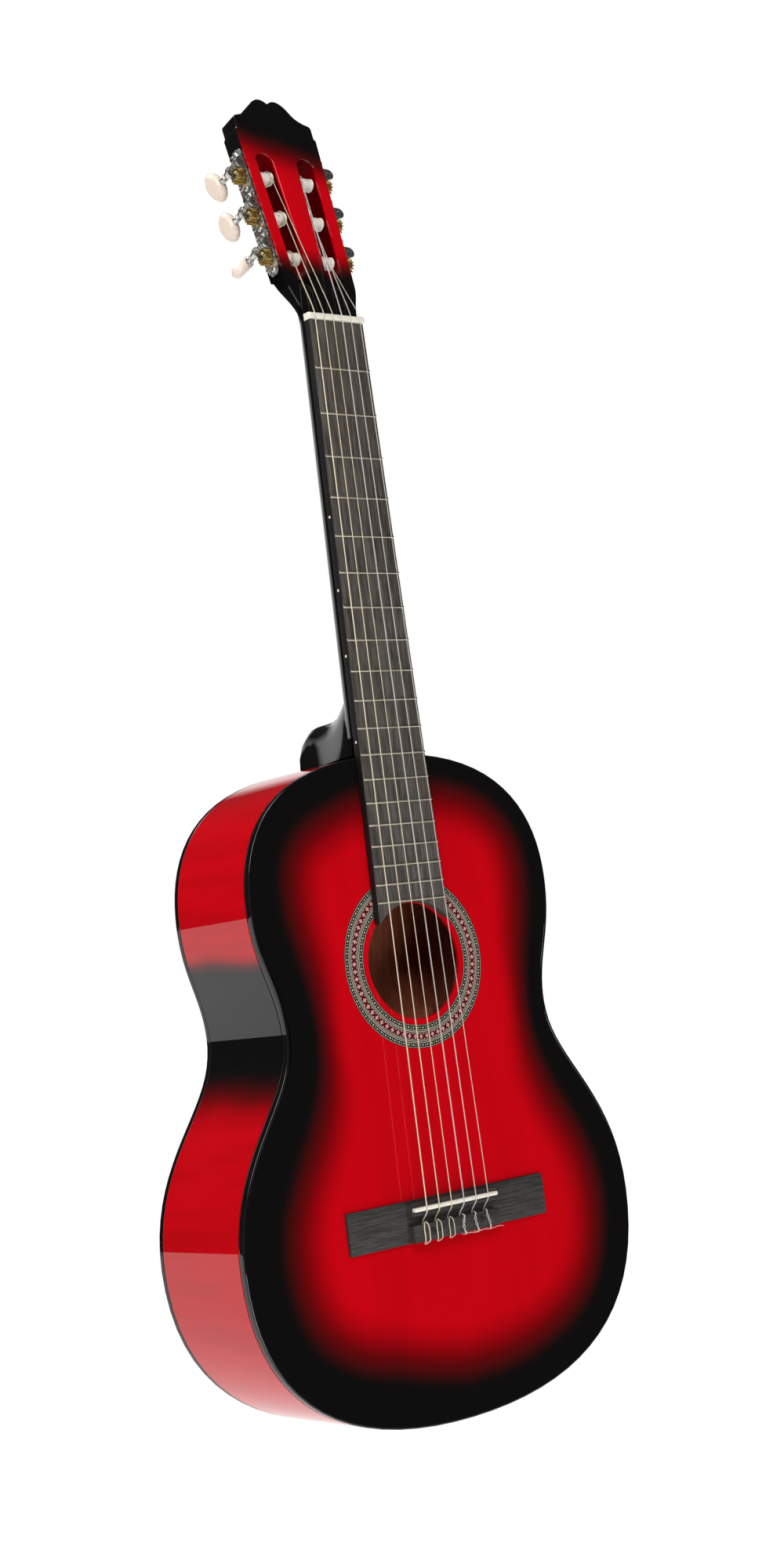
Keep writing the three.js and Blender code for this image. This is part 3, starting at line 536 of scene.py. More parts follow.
def bare_wood_paint(colours, sizes):
    """Planed wood with fine lines along the grain."""
    paint = Paint("inner_wood", roughness=0.72)
    lines = paint.noise(60, 4.0, 0.6, (10, 10, 0.6))
    fine = paint.noise(380, 2.0, 0.6, (8, 8, 0.5))
    shade = paint.blend(lines.ramp(0.3, 0.75), tuple(colours.bare_wood),
                        tuple(c * 0.62 for c in colours.bare_wood))
    paint.give(base_color=paint.blend(fine.ramp(0.5, 0.8) * 0.35, shade,
                                      tuple(c * 0.4 for c in colours.bare_wood)))
    paint.bump(fine, 0.0002, 0.6)
    return paint.material


def board_paint(colours, sizes):
    """Dark open-grained wood with streaks along the neck."""
    paint = Paint("fingerboard_wood", specular_ior_level=0.35)
    streaks = paint.noise(90, 4.0, 0.62, (6, 6, 0.45))
    pores = paint.noise(700, 3.0, 0.6, (4, 4, 0.25))
    broad = paint.noise(18, 3.0, 0.5, (3, 3, 0.3))
    tone = paint.blend(streaks.ramp(0.32, 0.68), tuple(c * 0.48 for c in colours.board),
                       tuple(c * 1.6 for c in colours.board))
    warm = paint.blend(broad.ramp(0.4, 0.7) * 0.5, tone, tuple(colours.board_warm))
    x, _, z = paint.place()
    slope = (board_half_width(fret_z(12)) - board_half_width(0)) / fret_z(12)
    side = (x.size() - board_half_width(0) - z * slope).ramp(-0.0004, -0.0001)
    face = paint.blend(pores.ramp(0.56, 0.7) * 0.75, warm, tuple(c * 0.25 for c in colours.board))
    paint.give(base_color=paint.blend(side, face, tuple(colours.black)),
               roughness=pores.ramp(0.4, 0.7, 0.42, 0.62))
    paint.bump(pores * -1.0, 0.00018, 0.7)
    return paint.material


def bridge_paint(colours, sizes):
    """Charcoal open-grained wood with the grain across the guitar."""
    paint = Paint("bridge_wood", specular_ior_level=0.3)
    streaks = paint.noise(120, 5.0, 0.7, (0.3, 8, 8))
    pores = paint.noise(650, 3.0, 0.6, (0.28, 3.5, 3.5))
    tone = paint.blend(streaks.ramp(0.35, 0.65), tuple(c * 0.45 for c in colours.bridge),
                       tuple(c * 1.7 for c in colours.bridge))
    paint.give(base_color=paint.blend(pores.ramp(0.55, 0.7) * 0.7, tone,
                                      tuple(c * 0.3 for c in colours.bridge)),
               roughness=pores.ramp(0.4, 0.7, 0.5, 0.7))
    paint.bump(pores * -1.0, 0.0003, 0.8)
    return paint.material


def plastic_paint(name, colour, roughness, mottle):
    """Moulded plastic: even colour with the faintest cloud and a fine skin."""
    paint = Paint(name, subsurface_weight=0.08, subsurface_radius=(0.004, 0.003, 0.002))
    cloud = paint.noise(160, 3.0).ramp(0.3, 0.7)
    paint.give(base_color=paint.blend(cloud, colour, tuple(c * mottle for c in colour)),
               roughness=paint.noise(500, 2.0).ramp(0.3, 0.7, roughness - 0.05, roughness + 0.08))
    paint.bump(paint.noise(900, 2.0), 0.00004, 0.5)
    return paint.material


def metal_paint(name, colour, shade, roughness, scale):
    """Plated metal with darker tarnish in patches and fine scratches."""
    paint = Paint(name, metallic=1.0)
    patches = paint.noise(scale, 4.0, 0.6)
    scratches = paint.noise(scale * 5, 2.0, 0.5, (1, 1, 0.15))
    paint.give(base_color=paint.blend(patches.ramp(0.42, 0.68), colour, shade),
               roughness=patches.ramp(0.35, 0.7, roughness, roughness + 0.18))
    paint.bump(scratches, 0.00005, 0.5)
    return paint.material


def wound_paint(colours, sizes):
    """Fine wire wound round a core: close rings along the string, with painted shade in the grooves between turns.
    """
    paint = Paint("wound_string", metallic=0.75, roughness=0.34)
    _, y, z = paint.place()
    rings = ((z + y * 0.25) * (math.tau / (sizes.winding_pitch * MM))).wave()
    tone = paint.noise(300, 2.0, 0.5, (1, 1, 0.1)).ramp(0.3, 0.7)
    bright = paint.blend(tone, tuple(colours.wound), tuple(c * 0.85 for c in colours.wound))
    # Painted shade: the wire is darkened in the grooves between its turns.
    paint.give(base_color=paint.blend(rings.ramp(-1.0, -0.2, 0.55, 0.0), bright,
                                      tuple(c * 0.45 for c in colours.wound)))
    paint.bump(rings, 0.00008, 0.6)
    return paint.material


def nylon_paint(colours, sizes):
    """Clear nylon, a little milky."""
    paint = Paint("nylon_string", alpha=0.42, ior=1.5, specular_ior_level=0.6)
    tone = paint.noise(200, 2.0, 0.5, (1, 1, 0.1)).ramp(0.3, 0.7)
    paint.give(base_color=paint.blend(tone, tuple(colours.nylon),
                                      tuple(c * 0.9 for c in colours.nylon)),
               roughness=tone.ramp(0.0, 1.0, 0.16, 0.24))
    return paint.material


def rosette_paint(colours, sizes):
    """Inlaid rings: fine lines, two rows of checks, and a red band of small crosses."""
    paint = lacquer("rosette_mosaic")
    x, _, z = paint.place()
    centre = (low("rosette").z + high("rosette").z) / 2
    inner = RING_INNER
    outer = high("rosette").x
    down = z - centre
    radius = (x * x + down * down) ** 0.5
    angle = Signal(paint, paint.node("ShaderNodeMath", {"operation": "ARCTAN2"},
                                     {0: x, 1: down}).outputs[0])
    across = (radius - inner) / (outer - inner)
    cream = tuple(colours.cream)
    ink = tuple(colours.ink)
    lines = ((across * sizes.rosette_lines).part() - 0.5).size()
    ground = paint.blend(lines.ramp(0.15, 0.22), cream, ink)

    def row(count, low_edge, high_edge):
        """Square cells along a ring, as (place along the cell, place across it)."""
        along = (angle * (count / math.tau)).part() - 0.5
        side = (across - low_edge) / (high_edge - low_edge) - 0.5
        return along, side

    for low_edge, high_edge in ((0.055, 0.215), (0.785, 0.945)):
        count = sizes.rosette_checks * (0.78 if low_edge < 0.5 else 1.0)
        along, side = row(round(count), low_edge, high_edge)
        diamond = (along.size() * 1.2 + side.size() * 1.2).ramp(0.34, 0.24)
        cell = paint.blend(diamond, ink, tuple(colours.pale_green))
        bar = (0.5 - along.size()).ramp(0.06, 0.02) * side.size().ramp(0.34, 0.26)
        cell = paint.blend(bar, cell, cream)
        ring = across.band(low_edge, high_edge, 0.004)
        ground = paint.blend(ring, ground, cell)
    low_edge, high_edge = 0.37, 0.63
    along, side = row(sizes.rosette_crosses, low_edge, high_edge)
    stem = along.size().ramp(0.08, 0.04) * side.size().ramp(0.36, 0.30)
    arm = side.size().ramp(0.07, 0.04) * along.size().ramp(0.30, 0.25)
    tip = along.size().ramp(0.15, 0.11) * (side.size() - 0.26).size().ramp(0.08, 0.05)
    tips = side.size().ramp(0.14, 0.10) * (along.size() - 0.21).size().ramp(0.07, 0.04)
    cross = stem.most(arm).most(tip).most(tips)
    corner = (0.5 - along.size()).ramp(0.06, 0.03) * (0.5 - side.size()).size().ramp(0.24, 0.18)
    band = paint.blend(cross, tuple(colours.dark_red), tuple(colours.pink))
    band = paint.blend(corner, band, tuple(colours.pink))
    ground = paint.blend(across.band(low_edge, high_edge, 0.004), ground, band)
    for ring_at in (0.0, 1.0):
        ground = paint.blend(across.band(ring_at - 0.030, ring_at + 0.030, 0.004), ground, ink)
    paint.give(base_color=ground)
    return paint.material


# ------------------------------------------------------------------ body


def body_outline(inset, steps=28):
    """The body's edge seen from the front, as (x, z), from the neck round by the treble side."""
    edge_low, edge_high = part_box("binding_front")
    sizes = bpy.context.scene.guitar_sizes
    top, tail, widest = edge_high.z, edge_low.z, edge_high.x
    upper, waist = sizes.upper_half_width * MM, sizes.waist_half_width * MM
    knots = [
        ((0, top), (106 * MM, 0), (0, 52 * MM), (upper, UPPER_Z)),
        ((upper, UPPER_Z), (0, -46 * MM), (0, 37 * MM), (waist, WAIST_Z)),
        ((waist, WAIST_Z), (0, -45 * MM), (0, 79 * MM), (widest, LOWER_Z)),
        ((widest, LOWER_Z), (0, -95 * MM), (111 * MM, 0), (0, tail)),
    ]
    half = []
    for start, leave, arrive, end in knots:
        control = [Vector(start), Vector(start) + Vector(leave), Vector(end) + Vector(arrive),
                   Vector(end)]
        for i in range(steps):
            t = i / steps
            s = 1 - t
            point = (control[0] * s ** 3 + control[1] * 3 * s * s * t
                     + control[2] * 3 * s * t * t + control[3] * t ** 3)
            run = ((control[1] - control[0]) * s * s + (control[2] - control[1]) * 2 * s * t
                   + (control[3] - control[2]) * t * t).normalized()
            half.append(point + Vector((run.y, -run.x)) * inset)
    half.append(Vector((0, tail + inset)))
    return half + [Vector((-p.x, p.y)) for p in reversed(half[1:-1])]


def flat_plate(name, outline, front, back):
    """A plate of even thickness with a drawn outline."""
    deselect()
    mesh = bpy.data.meshes.new(name)
    mesh.from_pydata([(x, front, z) for x, z in outline], [], [tuple(range(len(outline)))])
    piece = bpy.data.objects.new(name, mesh)
    bpy.context.scene.collection.objects.link(piece)
    edit(piece)
    bpy.ops.mesh.extrude_region_move(TRANSFORM_OT_translate={"value": (0, back - front, 0)})
    bpy.ops.mesh.select_all(action="SELECT")
    bpy.ops.mesh.normals_make_consistent(inside=False)
    close()
    return piece


def ring(name, inner, outer, front, back, centre_z, sides=192):
    """A flat ring round the soundhole."""
    deselect()
    bpy.ops.mesh.primitive_circle_add(vertices=sides, radius=inner, location=(0, front, centre_z),
                                      rotation=(math.pi / 2, 0, 0))
    piece = settle(active(name))
    edit(piece)
    bpy.ops.mesh.extrude_region()
    bpy.ops.transform.resize(value=(outer / inner, 1, outer / inner),
                             center_override=(0, front, centre_z))
    bpy.ops.mesh.select_all(action="SELECT")
    bpy.ops.mesh.extrude_region_move(TRANSFORM_OT_translate={"value": (0, back - front, 0)})
    bpy.ops.mesh.select_all(action="SELECT")
    bpy.ops.mesh.normals_make_consistent(inside=False)
    close()
    return piece


def distance_in(point, outline):
    """How far a point lies from the nearest stretch of the outline."""
    nearest = 1.0
    for i, start in enumerate(outline):
        end = outline[(i + 1) % len(outline)]
        run = end - start
        share = max(0.0, min(1.0, (point - start).dot(run) / run.length_squared))
        nearest = min(nearest, (start + run * share - point).length)
    return nearest


def paint_burst(piece):
    """Stores how red each point is: 0 in the black edge and 1 in the middle."""
    sizes = bpy.context.scene.guitar_sizes
    outline = body_outline(0, 10)
    store = piece.data.attributes.new("burst", "FLOAT", "POINT")
    for vertex in piece.data.vertices:
        x, _, z = vertex.co
        narrow = math.exp(-((z - WAIST_Z) / (55 * MM)) ** 2)
        bass = max(0.0, min(1.0, -x / (60 * MM)))
        high_up = max(0.0, min(1.0, (z - WAIST_Z) / (120 * MM)))
        black = (sizes.burst_black + 9 * bass - 7 * narrow - 9 * high_up) * MM
        fade = (sizes.burst_fade - 18 * narrow) * MM
        reach = distance_in(Vector((x, z)), outline) - black
        store.data[vertex.index].value = max(-0.2, min(1.2, reach / fade))


class GUITAR_OT_soundboard(bpy.types.Operator):
    """Adds the flat front with its soundhole and its rosette"""
    bl_idname = "guitar.soundboard"
    bl_label = "Soundboard"

    def execute(self, context):
        sizes, colours = context.scene.guitar_sizes, context.scene.guitar_colours
        thick = high("soundboard").y
        width, length = high("soundboard").x * 2, high("soundboard").z - low("soundboard").z
        middle = (high("soundboard").z + low("soundboard").z) / 2
        step = sizes.grid_step * MM
        deselect()
        bpy.ops.mesh.primitive_grid_add(
            x_subdivisions=round(width / step), y_subdivisions=round(length / step), size=1,
            location=(0, thick, middle), rotation=(math.pi / 2, 0, 0))
        board = active("soundboard_face")
        board.scale = (width + 2 * step, length + 2 * step, 1)
        settle(board)
        edit(board)
        bpy.ops.mesh.extrude_region_move(TRANSFORM_OT_translate={"value": (0, -thick, 0)})
        bpy.ops.mesh.select_all(action="SELECT")
        bpy.ops.mesh.normals_make_consistent(inside=False)
        close()
        inset = (low("soundboard").z - low("binding_front").z) - 0.3 * MM
        keep = flat_plate("keep", body_outline(inset), -thick, 2 * thick)
        modify(board, "BOOLEAN", operation="INTERSECT", object=keep, solver="EXACT")
        bpy.data.objects.remove(keep)
        hole = rod("hole", HOLE_RADIUS, (0, -thick, HOLE_Z), (0, 2 * thick, HOLE_Z), 192)
        cut(board, hole)
        outer = high("rosette").x
        depth = high("rosette").y
        cut(board, ring("groove", RING_INNER - 0.02 * MM, outer + 0.02 * MM, -thick,
                        depth + 0.02 * MM, HOLE_Z))
        smooth(board, 30)
        paint_burst(board)
        finish(board, BODY, "burst_top", burst_paint(colours, sizes), "soundboard")
        inlay = ring("rosette_ring", RING_INNER, outer, 0, depth, HOLE_Z)
        smooth(inlay, 30)
        finish(inlay, BODY, "rosette_mosaic", rosette_paint(colours, sizes), "rosette")
        return {"FINISHED"}


def refine(piece, levels=1, crease_angle=40, crease=1.0):
    """Rounds a faceted copy: keeps its sharp edges and subdivides the rest."""
    edit(piece, "DESELECT")
    bpy.ops.mesh.select_mode(type="EDGE")
    bpy.ops.mesh.edges_select_sharp(sharpness=math.radians(crease_angle))
    bpy.ops.transform.edge_crease(value=crease)
    close()
    return modify(piece, "SUBSURF", levels=levels, render_levels=levels)


class GUITAR_OT_body_shell(bpy.types.Operator):
    """Adds the two sides, the arched back and both edge bindings"""
    bl_idname = "guitar.body_shell"
    bl_label = "Sides, back and bindings"

    def execute(self, context):
        sizes, colours = context.scene.guitar_sizes, context.scene.guitar_colours
        side = side_paint(colours, sizes)
        wood = bare_wood_paint(colours, sizes)
        black = black_paint(colours, sizes)
        for name in ("rib_treble", "rib_bass"):
            piece = smooth(refine(copy_node(name, name + "_side")), 40)
            finish(piece, BODY, "red_lacquer", side, name)
            piece.data.materials.append(wood)
            middle = Vector((0, 0, WAIST_Z))
            for face in piece.data.polygons:
                outward = face.center - middle
                wide = 1 if outward.x * face.normal.x + outward.z * face.normal.z < 0 else 0
                face.material_index = wide if abs(face.normal.y) < 0.5 else 0
        for name in ("binding_front", "binding_back"):
            piece = copy_node(name, name + "_strip")
            modify(piece, "BEVEL", width=sizes.binding_round * MM, segments=3,
                   limit_method="ANGLE", angle_limit=math.radians(50))
            smooth(refine(piece, 1, 60), 50)
            finish(piece, BODY, "black_binding", black, name)
        back = smooth(refine(copy_node("back_plate", "back_arched")), 40)
        finish(back, BODY, "red_lacquer", side, "back_plate")
        back.data.materials.append(wood)
        for face in back.data.polygons:
            face.material_index = 1 if face.normal.y < -0.5 else 0
        paint_burst(back)
        back.data.materials[0] = burst_paint(colours, sizes)
        for name in frame["nodes"]:
            if name.startswith(("lining_", "cross_brace", "fan_brace", "back_brace")):
                repaint(name, wood)
            if name in ("neck_block", "tail_block"):
                repaint(name, wood)
        return {"FINISHED"}


# ------------------------------------------------------------------ neck, board, nut, bridge


def fret_z(number):
    """Height of a fret below the nut."""
    return -SCALE_LENGTH * (1 - 2 ** (-number / 12))


def board_half_width(z):
    """Half width of the fingerboard at a height: straight edges from the nut to its end."""
    sizes = bpy.context.scene.guitar_sizes
    at_nut, at_body = high("nut").x, sizes.board_half_at_body * MM
    return at_nut + (at_body - at_nut) * z / fret_z(12)


class GUITAR_OT_neck(bpy.types.Operator):
    """Adds the neck, its heel and its slotted head"""
    bl_idname = "guitar.neck"
    bl_label = "Neck and head"

    def execute(self, context):
        sizes, colours = context.scene.guitar_sizes, context.scene.guitar_colours
        piece = copy_node("neck", "neck_carved")
        start = HEAD_ORIGIN + HEAD_UP * sizes.head_start * MM
        choose_faces(piece, lambda face: (face.center - start).dot(HEAD_UP) > 0)
        bpy.ops.mesh.dissolve_limited(angle_limit=math.radians(0.6))
        bpy.ops.mesh.select_all(action="DESELECT")
        bpy.ops.mesh.select_mode(type="EDGE")
        bpy.ops.mesh.edges_select_sharp(sharpness=math.radians(38))
        close()
        for side in piece.data.edges:
            ends = [piece.data.vertices[i].co for i in side.vertices]
            side.select = side.select and all((end - start).dot(HEAD_UP) > 0 for end in ends)
        bpy.ops.object.mode_set(mode="EDIT")
        bpy.ops.mesh.bevel(offset=sizes.neck_round * MM, segments=3, affect="EDGES",
                           clamp_overlap=False)
        close()
        smooth(piece, 38)
        finish(piece, BODY, "neck_lacquer", neck_paint(colours, sizes), "neck")
        return {"FINISHED"}


class GUITAR_OT_fingerboard(bpy.types.Operator):
    """Adds the fingerboard, its nineteen fret wires and the dots on its side"""
    bl_idname = "guitar.fingerboard"
    bl_label = "Fingerboard and frets"

    def execute(self, context):
        sizes, colours = context.scene.guitar_sizes, context.scene.guitar_colours
        bottom = low("fretboard").z
        face = low("fretboard").y + sizes.fret_height * MM
        back = high("fretboard").y
        board = block("fingerboard", (-1, face, bottom), (1, back, high("fretboard").z))
        for vertex in board.data.vertices:
            vertex.co.x = math.copysign(board_half_width(vertex.co.z), vertex.co.x)
        scoop = rod("scoop", HOLE_RADIUS + 0.6 * MM, (0, face - 5 * MM, HOLE_Z),
                    (0, back + 5 * MM, HOLE_Z), 128)
        cut(board, scoop)
        rounded(board, 0.35 * MM, 2)
        finish(board, BODY, "fingerboard_wood", board_paint(colours, sizes), "fretboard")
        wire = metal_paint("fret_nickel", tuple(colours.nickel), tuple(colours.nickel_shade),
                           0.3, 60)
        width, height = sizes.fret_width * MM, sizes.fret_height * MM
        for number in range(1, FRETS + 1):
            z = fret_z(number)
            reach = board_half_width(z) - 0.3 * MM
            fret = rod(f"fret_wire_{number}", 1.0, (-reach, 0, 0), (reach, 0, 0), 20)
            moved(fret, Matrix.Translation((0, face, z))
                  @ Matrix.Diagonal((1, height, width / 2, 1)))
            edit(fret)
            bpy.ops.mesh.bisect(plane_co=(0, face + 0.1 * MM, z), plane_no=(0, 1, 0),
                                clear_outer=True, use_fill=True)
            close()
            if number == FRETS:
                cut(fret, rod("scoop", HOLE_RADIUS + 0.6 * MM, (0, face - 5 * MM, HOLE_Z),
                              (0, face + 5 * MM, HOLE_Z), 128))
            rounded(fret, 0.2 * MM, 2, 50)
            finish(fret, BODY, "fingerboard_wood", wire)
        dot = plastic_paint("side_dot_white", tuple(colours.ivory), 0.35, 0.95)
        for number in (5, 7, 9, 12):
            z = (fret_z(number) + fret_z(number - 1)) / 2
            x = -board_half_width(z)
            mark = rod(f"side_dot_{number}", 1.0 * MM, (x - 0.06 * MM, face + 3.1 * MM, z),
                       (x + 0.8 * MM, face + 3.1 * MM, z), 20)
            smooth(mark, 30)
            finish(mark, BODY, "ivory_plastic", dot)
        return {"FINISHED"}


class GUITAR_OT_nut_and_saddle(bpy.types.Operator):
    """Adds the nut with its string grooves and the saddle with its rounded crown"""
    bl_idname = "guitar.nut_and_saddle"
    bl_label = "Nut and saddle"

    def execute(self, context):
        sizes, colours = context.scene.guitar_sizes, context.scene.guitar_colours
        ivory = plastic_paint("ivory_polished", tuple(colours.ivory), 0.28, 0.94)
        nut = copy_node("nut", "nut_grooved")
        for number in STRINGS:
            x = string_x(number, sizes.nut_spacing)
            radius = string_radius(number) + 0.1 * MM
            y = low("nut").y + 0.15 * MM
            cut(nut, rod("groove", radius, (x, y, -2 * MM), (x, y, 8 * MM), 16))
        rounded(nut, 0.35 * MM, 2, 30)
        finish(nut, BODY, "ivory_plastic", ivory, "nut")
        lowest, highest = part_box("saddle")
        saddle = block("saddle_crowned", lowest, highest)
        edit(saddle)
        bpy.ops.mesh.subdivide(number_cuts=1)
        close()
        rounded(saddle, 1.1 * MM, 4, 60)
        finish(saddle, BODY, "ivory_plastic", ivory, "saddle")
        return {"FINISHED"}


class GUITAR_OT_bridge(bpy.types.Operator):
    """Adds the bridge with its tie block and two plugs"""
    bl_idname = "guitar.bridge"
    bl_label = "Bridge"

    def execute(self, context):
        sizes, colours = context.scene.guitar_sizes, context.scene.guitar_colours
        piece = copy_node("bridge", "bridge_carved")
        rounded(piece, 0.25 * MM, 2, 30)
        finish(piece, BODY, "bridge_wood", bridge_paint(colours, sizes), "bridge")
        dark = plastic_paint("plug_black", (0.006, 0.006, 0.006), 0.5, 0.8)
        top = low("bridge").y
        for x in (-sizes.plug_place * MM, sizes.plug_place * MM):
            plug = turned("plug_treble" if x > 0 else "plug_bass",
                          [(0, -0.12 * MM), (2.6 * MM, -0.1 * MM), (3.2 * MM, 0.12 * MM),
                           (3.2 * MM, 2 * MM), (0, 2 * MM)], "Y", 32)
            moved(plug, Matrix.Translation((x, top, low("bridge").z + 6.6 * MM)))
            smooth(plug, 40)
            finish(plug, BODY, "bridge_wood", dark)
        return {"FINISHED"}


# ------------------------------------------------------------------ strings


def string_x(number, spacing):
    return (3.5 - number) * spacing * MM


def string_radius(number):
    """Half the thickness of a string, spread evenly between the given thicknesses of the first and last of its
    set.
    """
    sizes = bpy.context.scene.guitar_sizes
    thin, thick = ((sizes.treble_thin, sizes.treble_thick) if number <= 3
                   else (sizes.bass_thin, sizes.bass_thick))
    return (thin + (thick - thin) * ((number - 1) % 3) / 2) * MM / 2


def side_of(number):
    return 1 if number <= 3 else -1


def post_frame(number):
    """Directions of one tuner: x along its post to the treble side, y behind, z up the head."""
    joint = JOINTS[f"post_{number}_turn"]
    along = Vector(joint["axis"]).normalized()
    up = along.cross(HEAD_BACK).normalized()
    turn = Matrix((along, HEAD_BACK, up)).transposed().to_4x4()
    return Matrix.Translation(Vector(joint["pos_m"])) @ turn


def barrel_ends():
    """Distances of the barrel's outer and inner end from the head's side, along the post."""
    sizes = bpy.context.scene.guitar_sizes
    return sizes.slot_outer * MM, sizes.slot_inner * MM


def winding_points(number, radius):
    """Turns round the roller, ending halfway towards the hole in its post."""
    sizes = bpy.context.scene.guitar_sizes
    side = side_of(number)
    frame_here = post_frame(number)
    outer, inner = barrel_ends()
    nearest = number in (1, 6)
    start = outer + 6.5 * MM if nearest else inner - 3.4 * MM
    step = 2.1 * radius * (1 if nearest else -1)
    reach = sizes.barrel_radius * MM + radius
    count = sizes.winding_turns
    points = []
    steps = 10
    for i in range(int(count * steps) + 1):
        angle = math.pi + math.radians(20) + math.tau * i / steps
        across = -side * (start + step * i / steps)
        points.append(frame_here @ Vector((across, math.cos(angle) * reach,
                                           math.sin(angle) * reach)))
    hole = frame_here @ Vector((-side * (start + step * count), 0, 0))
    points.append(points[-1].lerp(hole, 0.5))
    return points


class GUITAR_OT_strings(bpy.types.Operator):
    """Adds the six strings, with their ties at the bridge and their turns on the rollers"""
    bl_idname = "guitar.strings"
    bl_label = "Strings"

    def execute(self, context):
        sizes, colours = context.scene.guitar_sizes, context.scene.guitar_colours
        wound = wound_paint(colours, sizes)
        nylon = nylon_paint(colours, sizes)
        bridge_low = low("bridge")
        saddle_low, saddle_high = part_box("saddle")
        for number in STRINGS:
            radius = string_radius(number)
            x = string_x(number, sizes.saddle_spacing)
            x_nut = string_x(number, sizes.nut_spacing)
            crown = saddle_low.y - radius + 0.1 * MM
            front = bridge_low.z + sizes.tie_length * MM
            hole_y = bridge_low.y + 3.4 * MM
            bass = number > 3
            top = bridge_low.y - radius
            foot = bridge_low.z
            approach = [
                (x, hole_y, foot - 0.4 * MM),
                (x, hole_y, foot + 4 * MM),
                (x, hole_y, front - 1 * MM),
                (x, hole_y - 0.2 * MM, front + 1.2 * MM),
                (x, crown + 0.9 * MM, saddle_low.z - 1.2 * MM),
                (x, crown, saddle_low.z + 0.7 * MM),
                (x, crown, saddle_high.z - 0.5 * MM),
            ]
            run = [Vector(p) for p in approach]
            at_nut = low("nut").y + 0.15 * MM
            run.append(Vector((x, crown, saddle_high.z + 2 * MM)).lerp(
                Vector((x_nut, at_nut, 0)), 0.01))
            for share in (0.25, 0.5, 0.75):
                run.append(Vector((x, crown, saddle_high.z)).lerp(
                    Vector((x_nut, at_nut, -2 * MM)), share))
            run.append(Vector((x_nut, at_nut, -2 * MM)))
            run.append(Vector((x_nut, at_nut, 3 * MM)))
            wind = winding_points(number, radius)
            lead = Vector((x_nut, at_nut, 5 * MM)).lerp(wind[0], 0.02)
            run += [lead, lead.lerp(wind[0], 0.5), wind[0].lerp(lead, 0.06)] + wind
            main = tube("run", run, radius, 3, True, 4)
            parts = [main]
            if bass:
                parts.append(bass_tie(x, radius, top, front, foot, hole_y))
            else:
                parts.append(treble_tie(x, radius, top, front, foot, hole_y, number))
            piece = together(f"string_{number}_tied", parts)
            bpy.ops.object.shade_smooth()
            finish(piece, BODY, "wound_string" if bass else "nylon", wound if bass else nylon,
                   f"string_{number}")
        return {"FINISHED"}


def bass_tie(x, radius, top, front, foot, hole_y):
    """An oval loop that comes out of the tie hole, over the block, and under the string."""
    half = 2.1 * MM
    low_z, high_z = foot - 0.6 * MM - radius, front + 0.5 * MM + radius
    over = top - 0.15 * MM
    points = [
        (x, hole_y, foot - 0.3 * MM), (x - half * 0.6, hole_y - 1.4 * MM, low_z),
        (x - half, over + 0.3 * MM, foot + 0.8 * MM), (x - half, over, foot + 3 * MM),
        (x - half, over, front - 2.4 * MM), (x - half * 0.7, over + 0.2 * MM, front),
        (x, over + 1.1 * MM, high_z + 0.4 * MM), (x + half * 0.7, over + 0.2 * MM, front),
        (x + half, over, front - 2.4 * MM), (x + half, over, foot + 3 * MM),
        (x + half, over + 0.3 * MM, foot + 0.8 * MM), (x + half * 0.6, hole_y - 1.2 * MM, low_z),
        (x, hole_y - 1.0 * MM, low_z - radius * 0.6),
        (x - half * 0.6, hole_y - 1.5 * MM, low_z - radius * 0.3),
    ]
    return tube("tie", points, radius, 3, True, 5)


def treble_tie(x, radius, top, front, foot, hole_y, number):
    """Thin nylon twisted over itself on the block, with a loose tail along its foot."""
    over = top - 0.2 * MM
    strands = []
    for phase in (0, math.pi):
        points = [(x, hole_y, foot - 0.3 * MM), (x + 0.4 * MM, hole_y - 1.6 * MM, foot - 0.9 * MM)]
        steps = 12
        for i in range(steps + 1):
            share = i / steps
            angle = phase + share * math.tau * 1.5
            wide = (0.35 + 0.45 * math.sin(math.pi * share)) * MM
            points.append((x + 1.0 * MM * math.sin(share * 4 + number) + wide * math.cos(angle),
                           over - radius * (1 + 0.9 * math.sin(angle)),
                           foot + (front - foot) * share))
        points.append((x, over + 1.6 * MM, front + 1.3 * MM))
        strands.append(tube("strand", points, radius * 0.8, 2, True, 4))
    tail = []
    for i in range(9):
        share = i / 8
        tail.append((x + (1 + 14 * share) * MM, hole_y - 1.7 * MM - 0.8 * MM * math.sin(3 * share),
                     foot - 0.9 * MM - 0.35 * MM * math.sin(number + 6 * share)))
    strands.append(tube("tail", tail, radius * 0.7, 2, True, 3))
    return together("tie", strands)


# ------------------------------------------------------------------ tuners


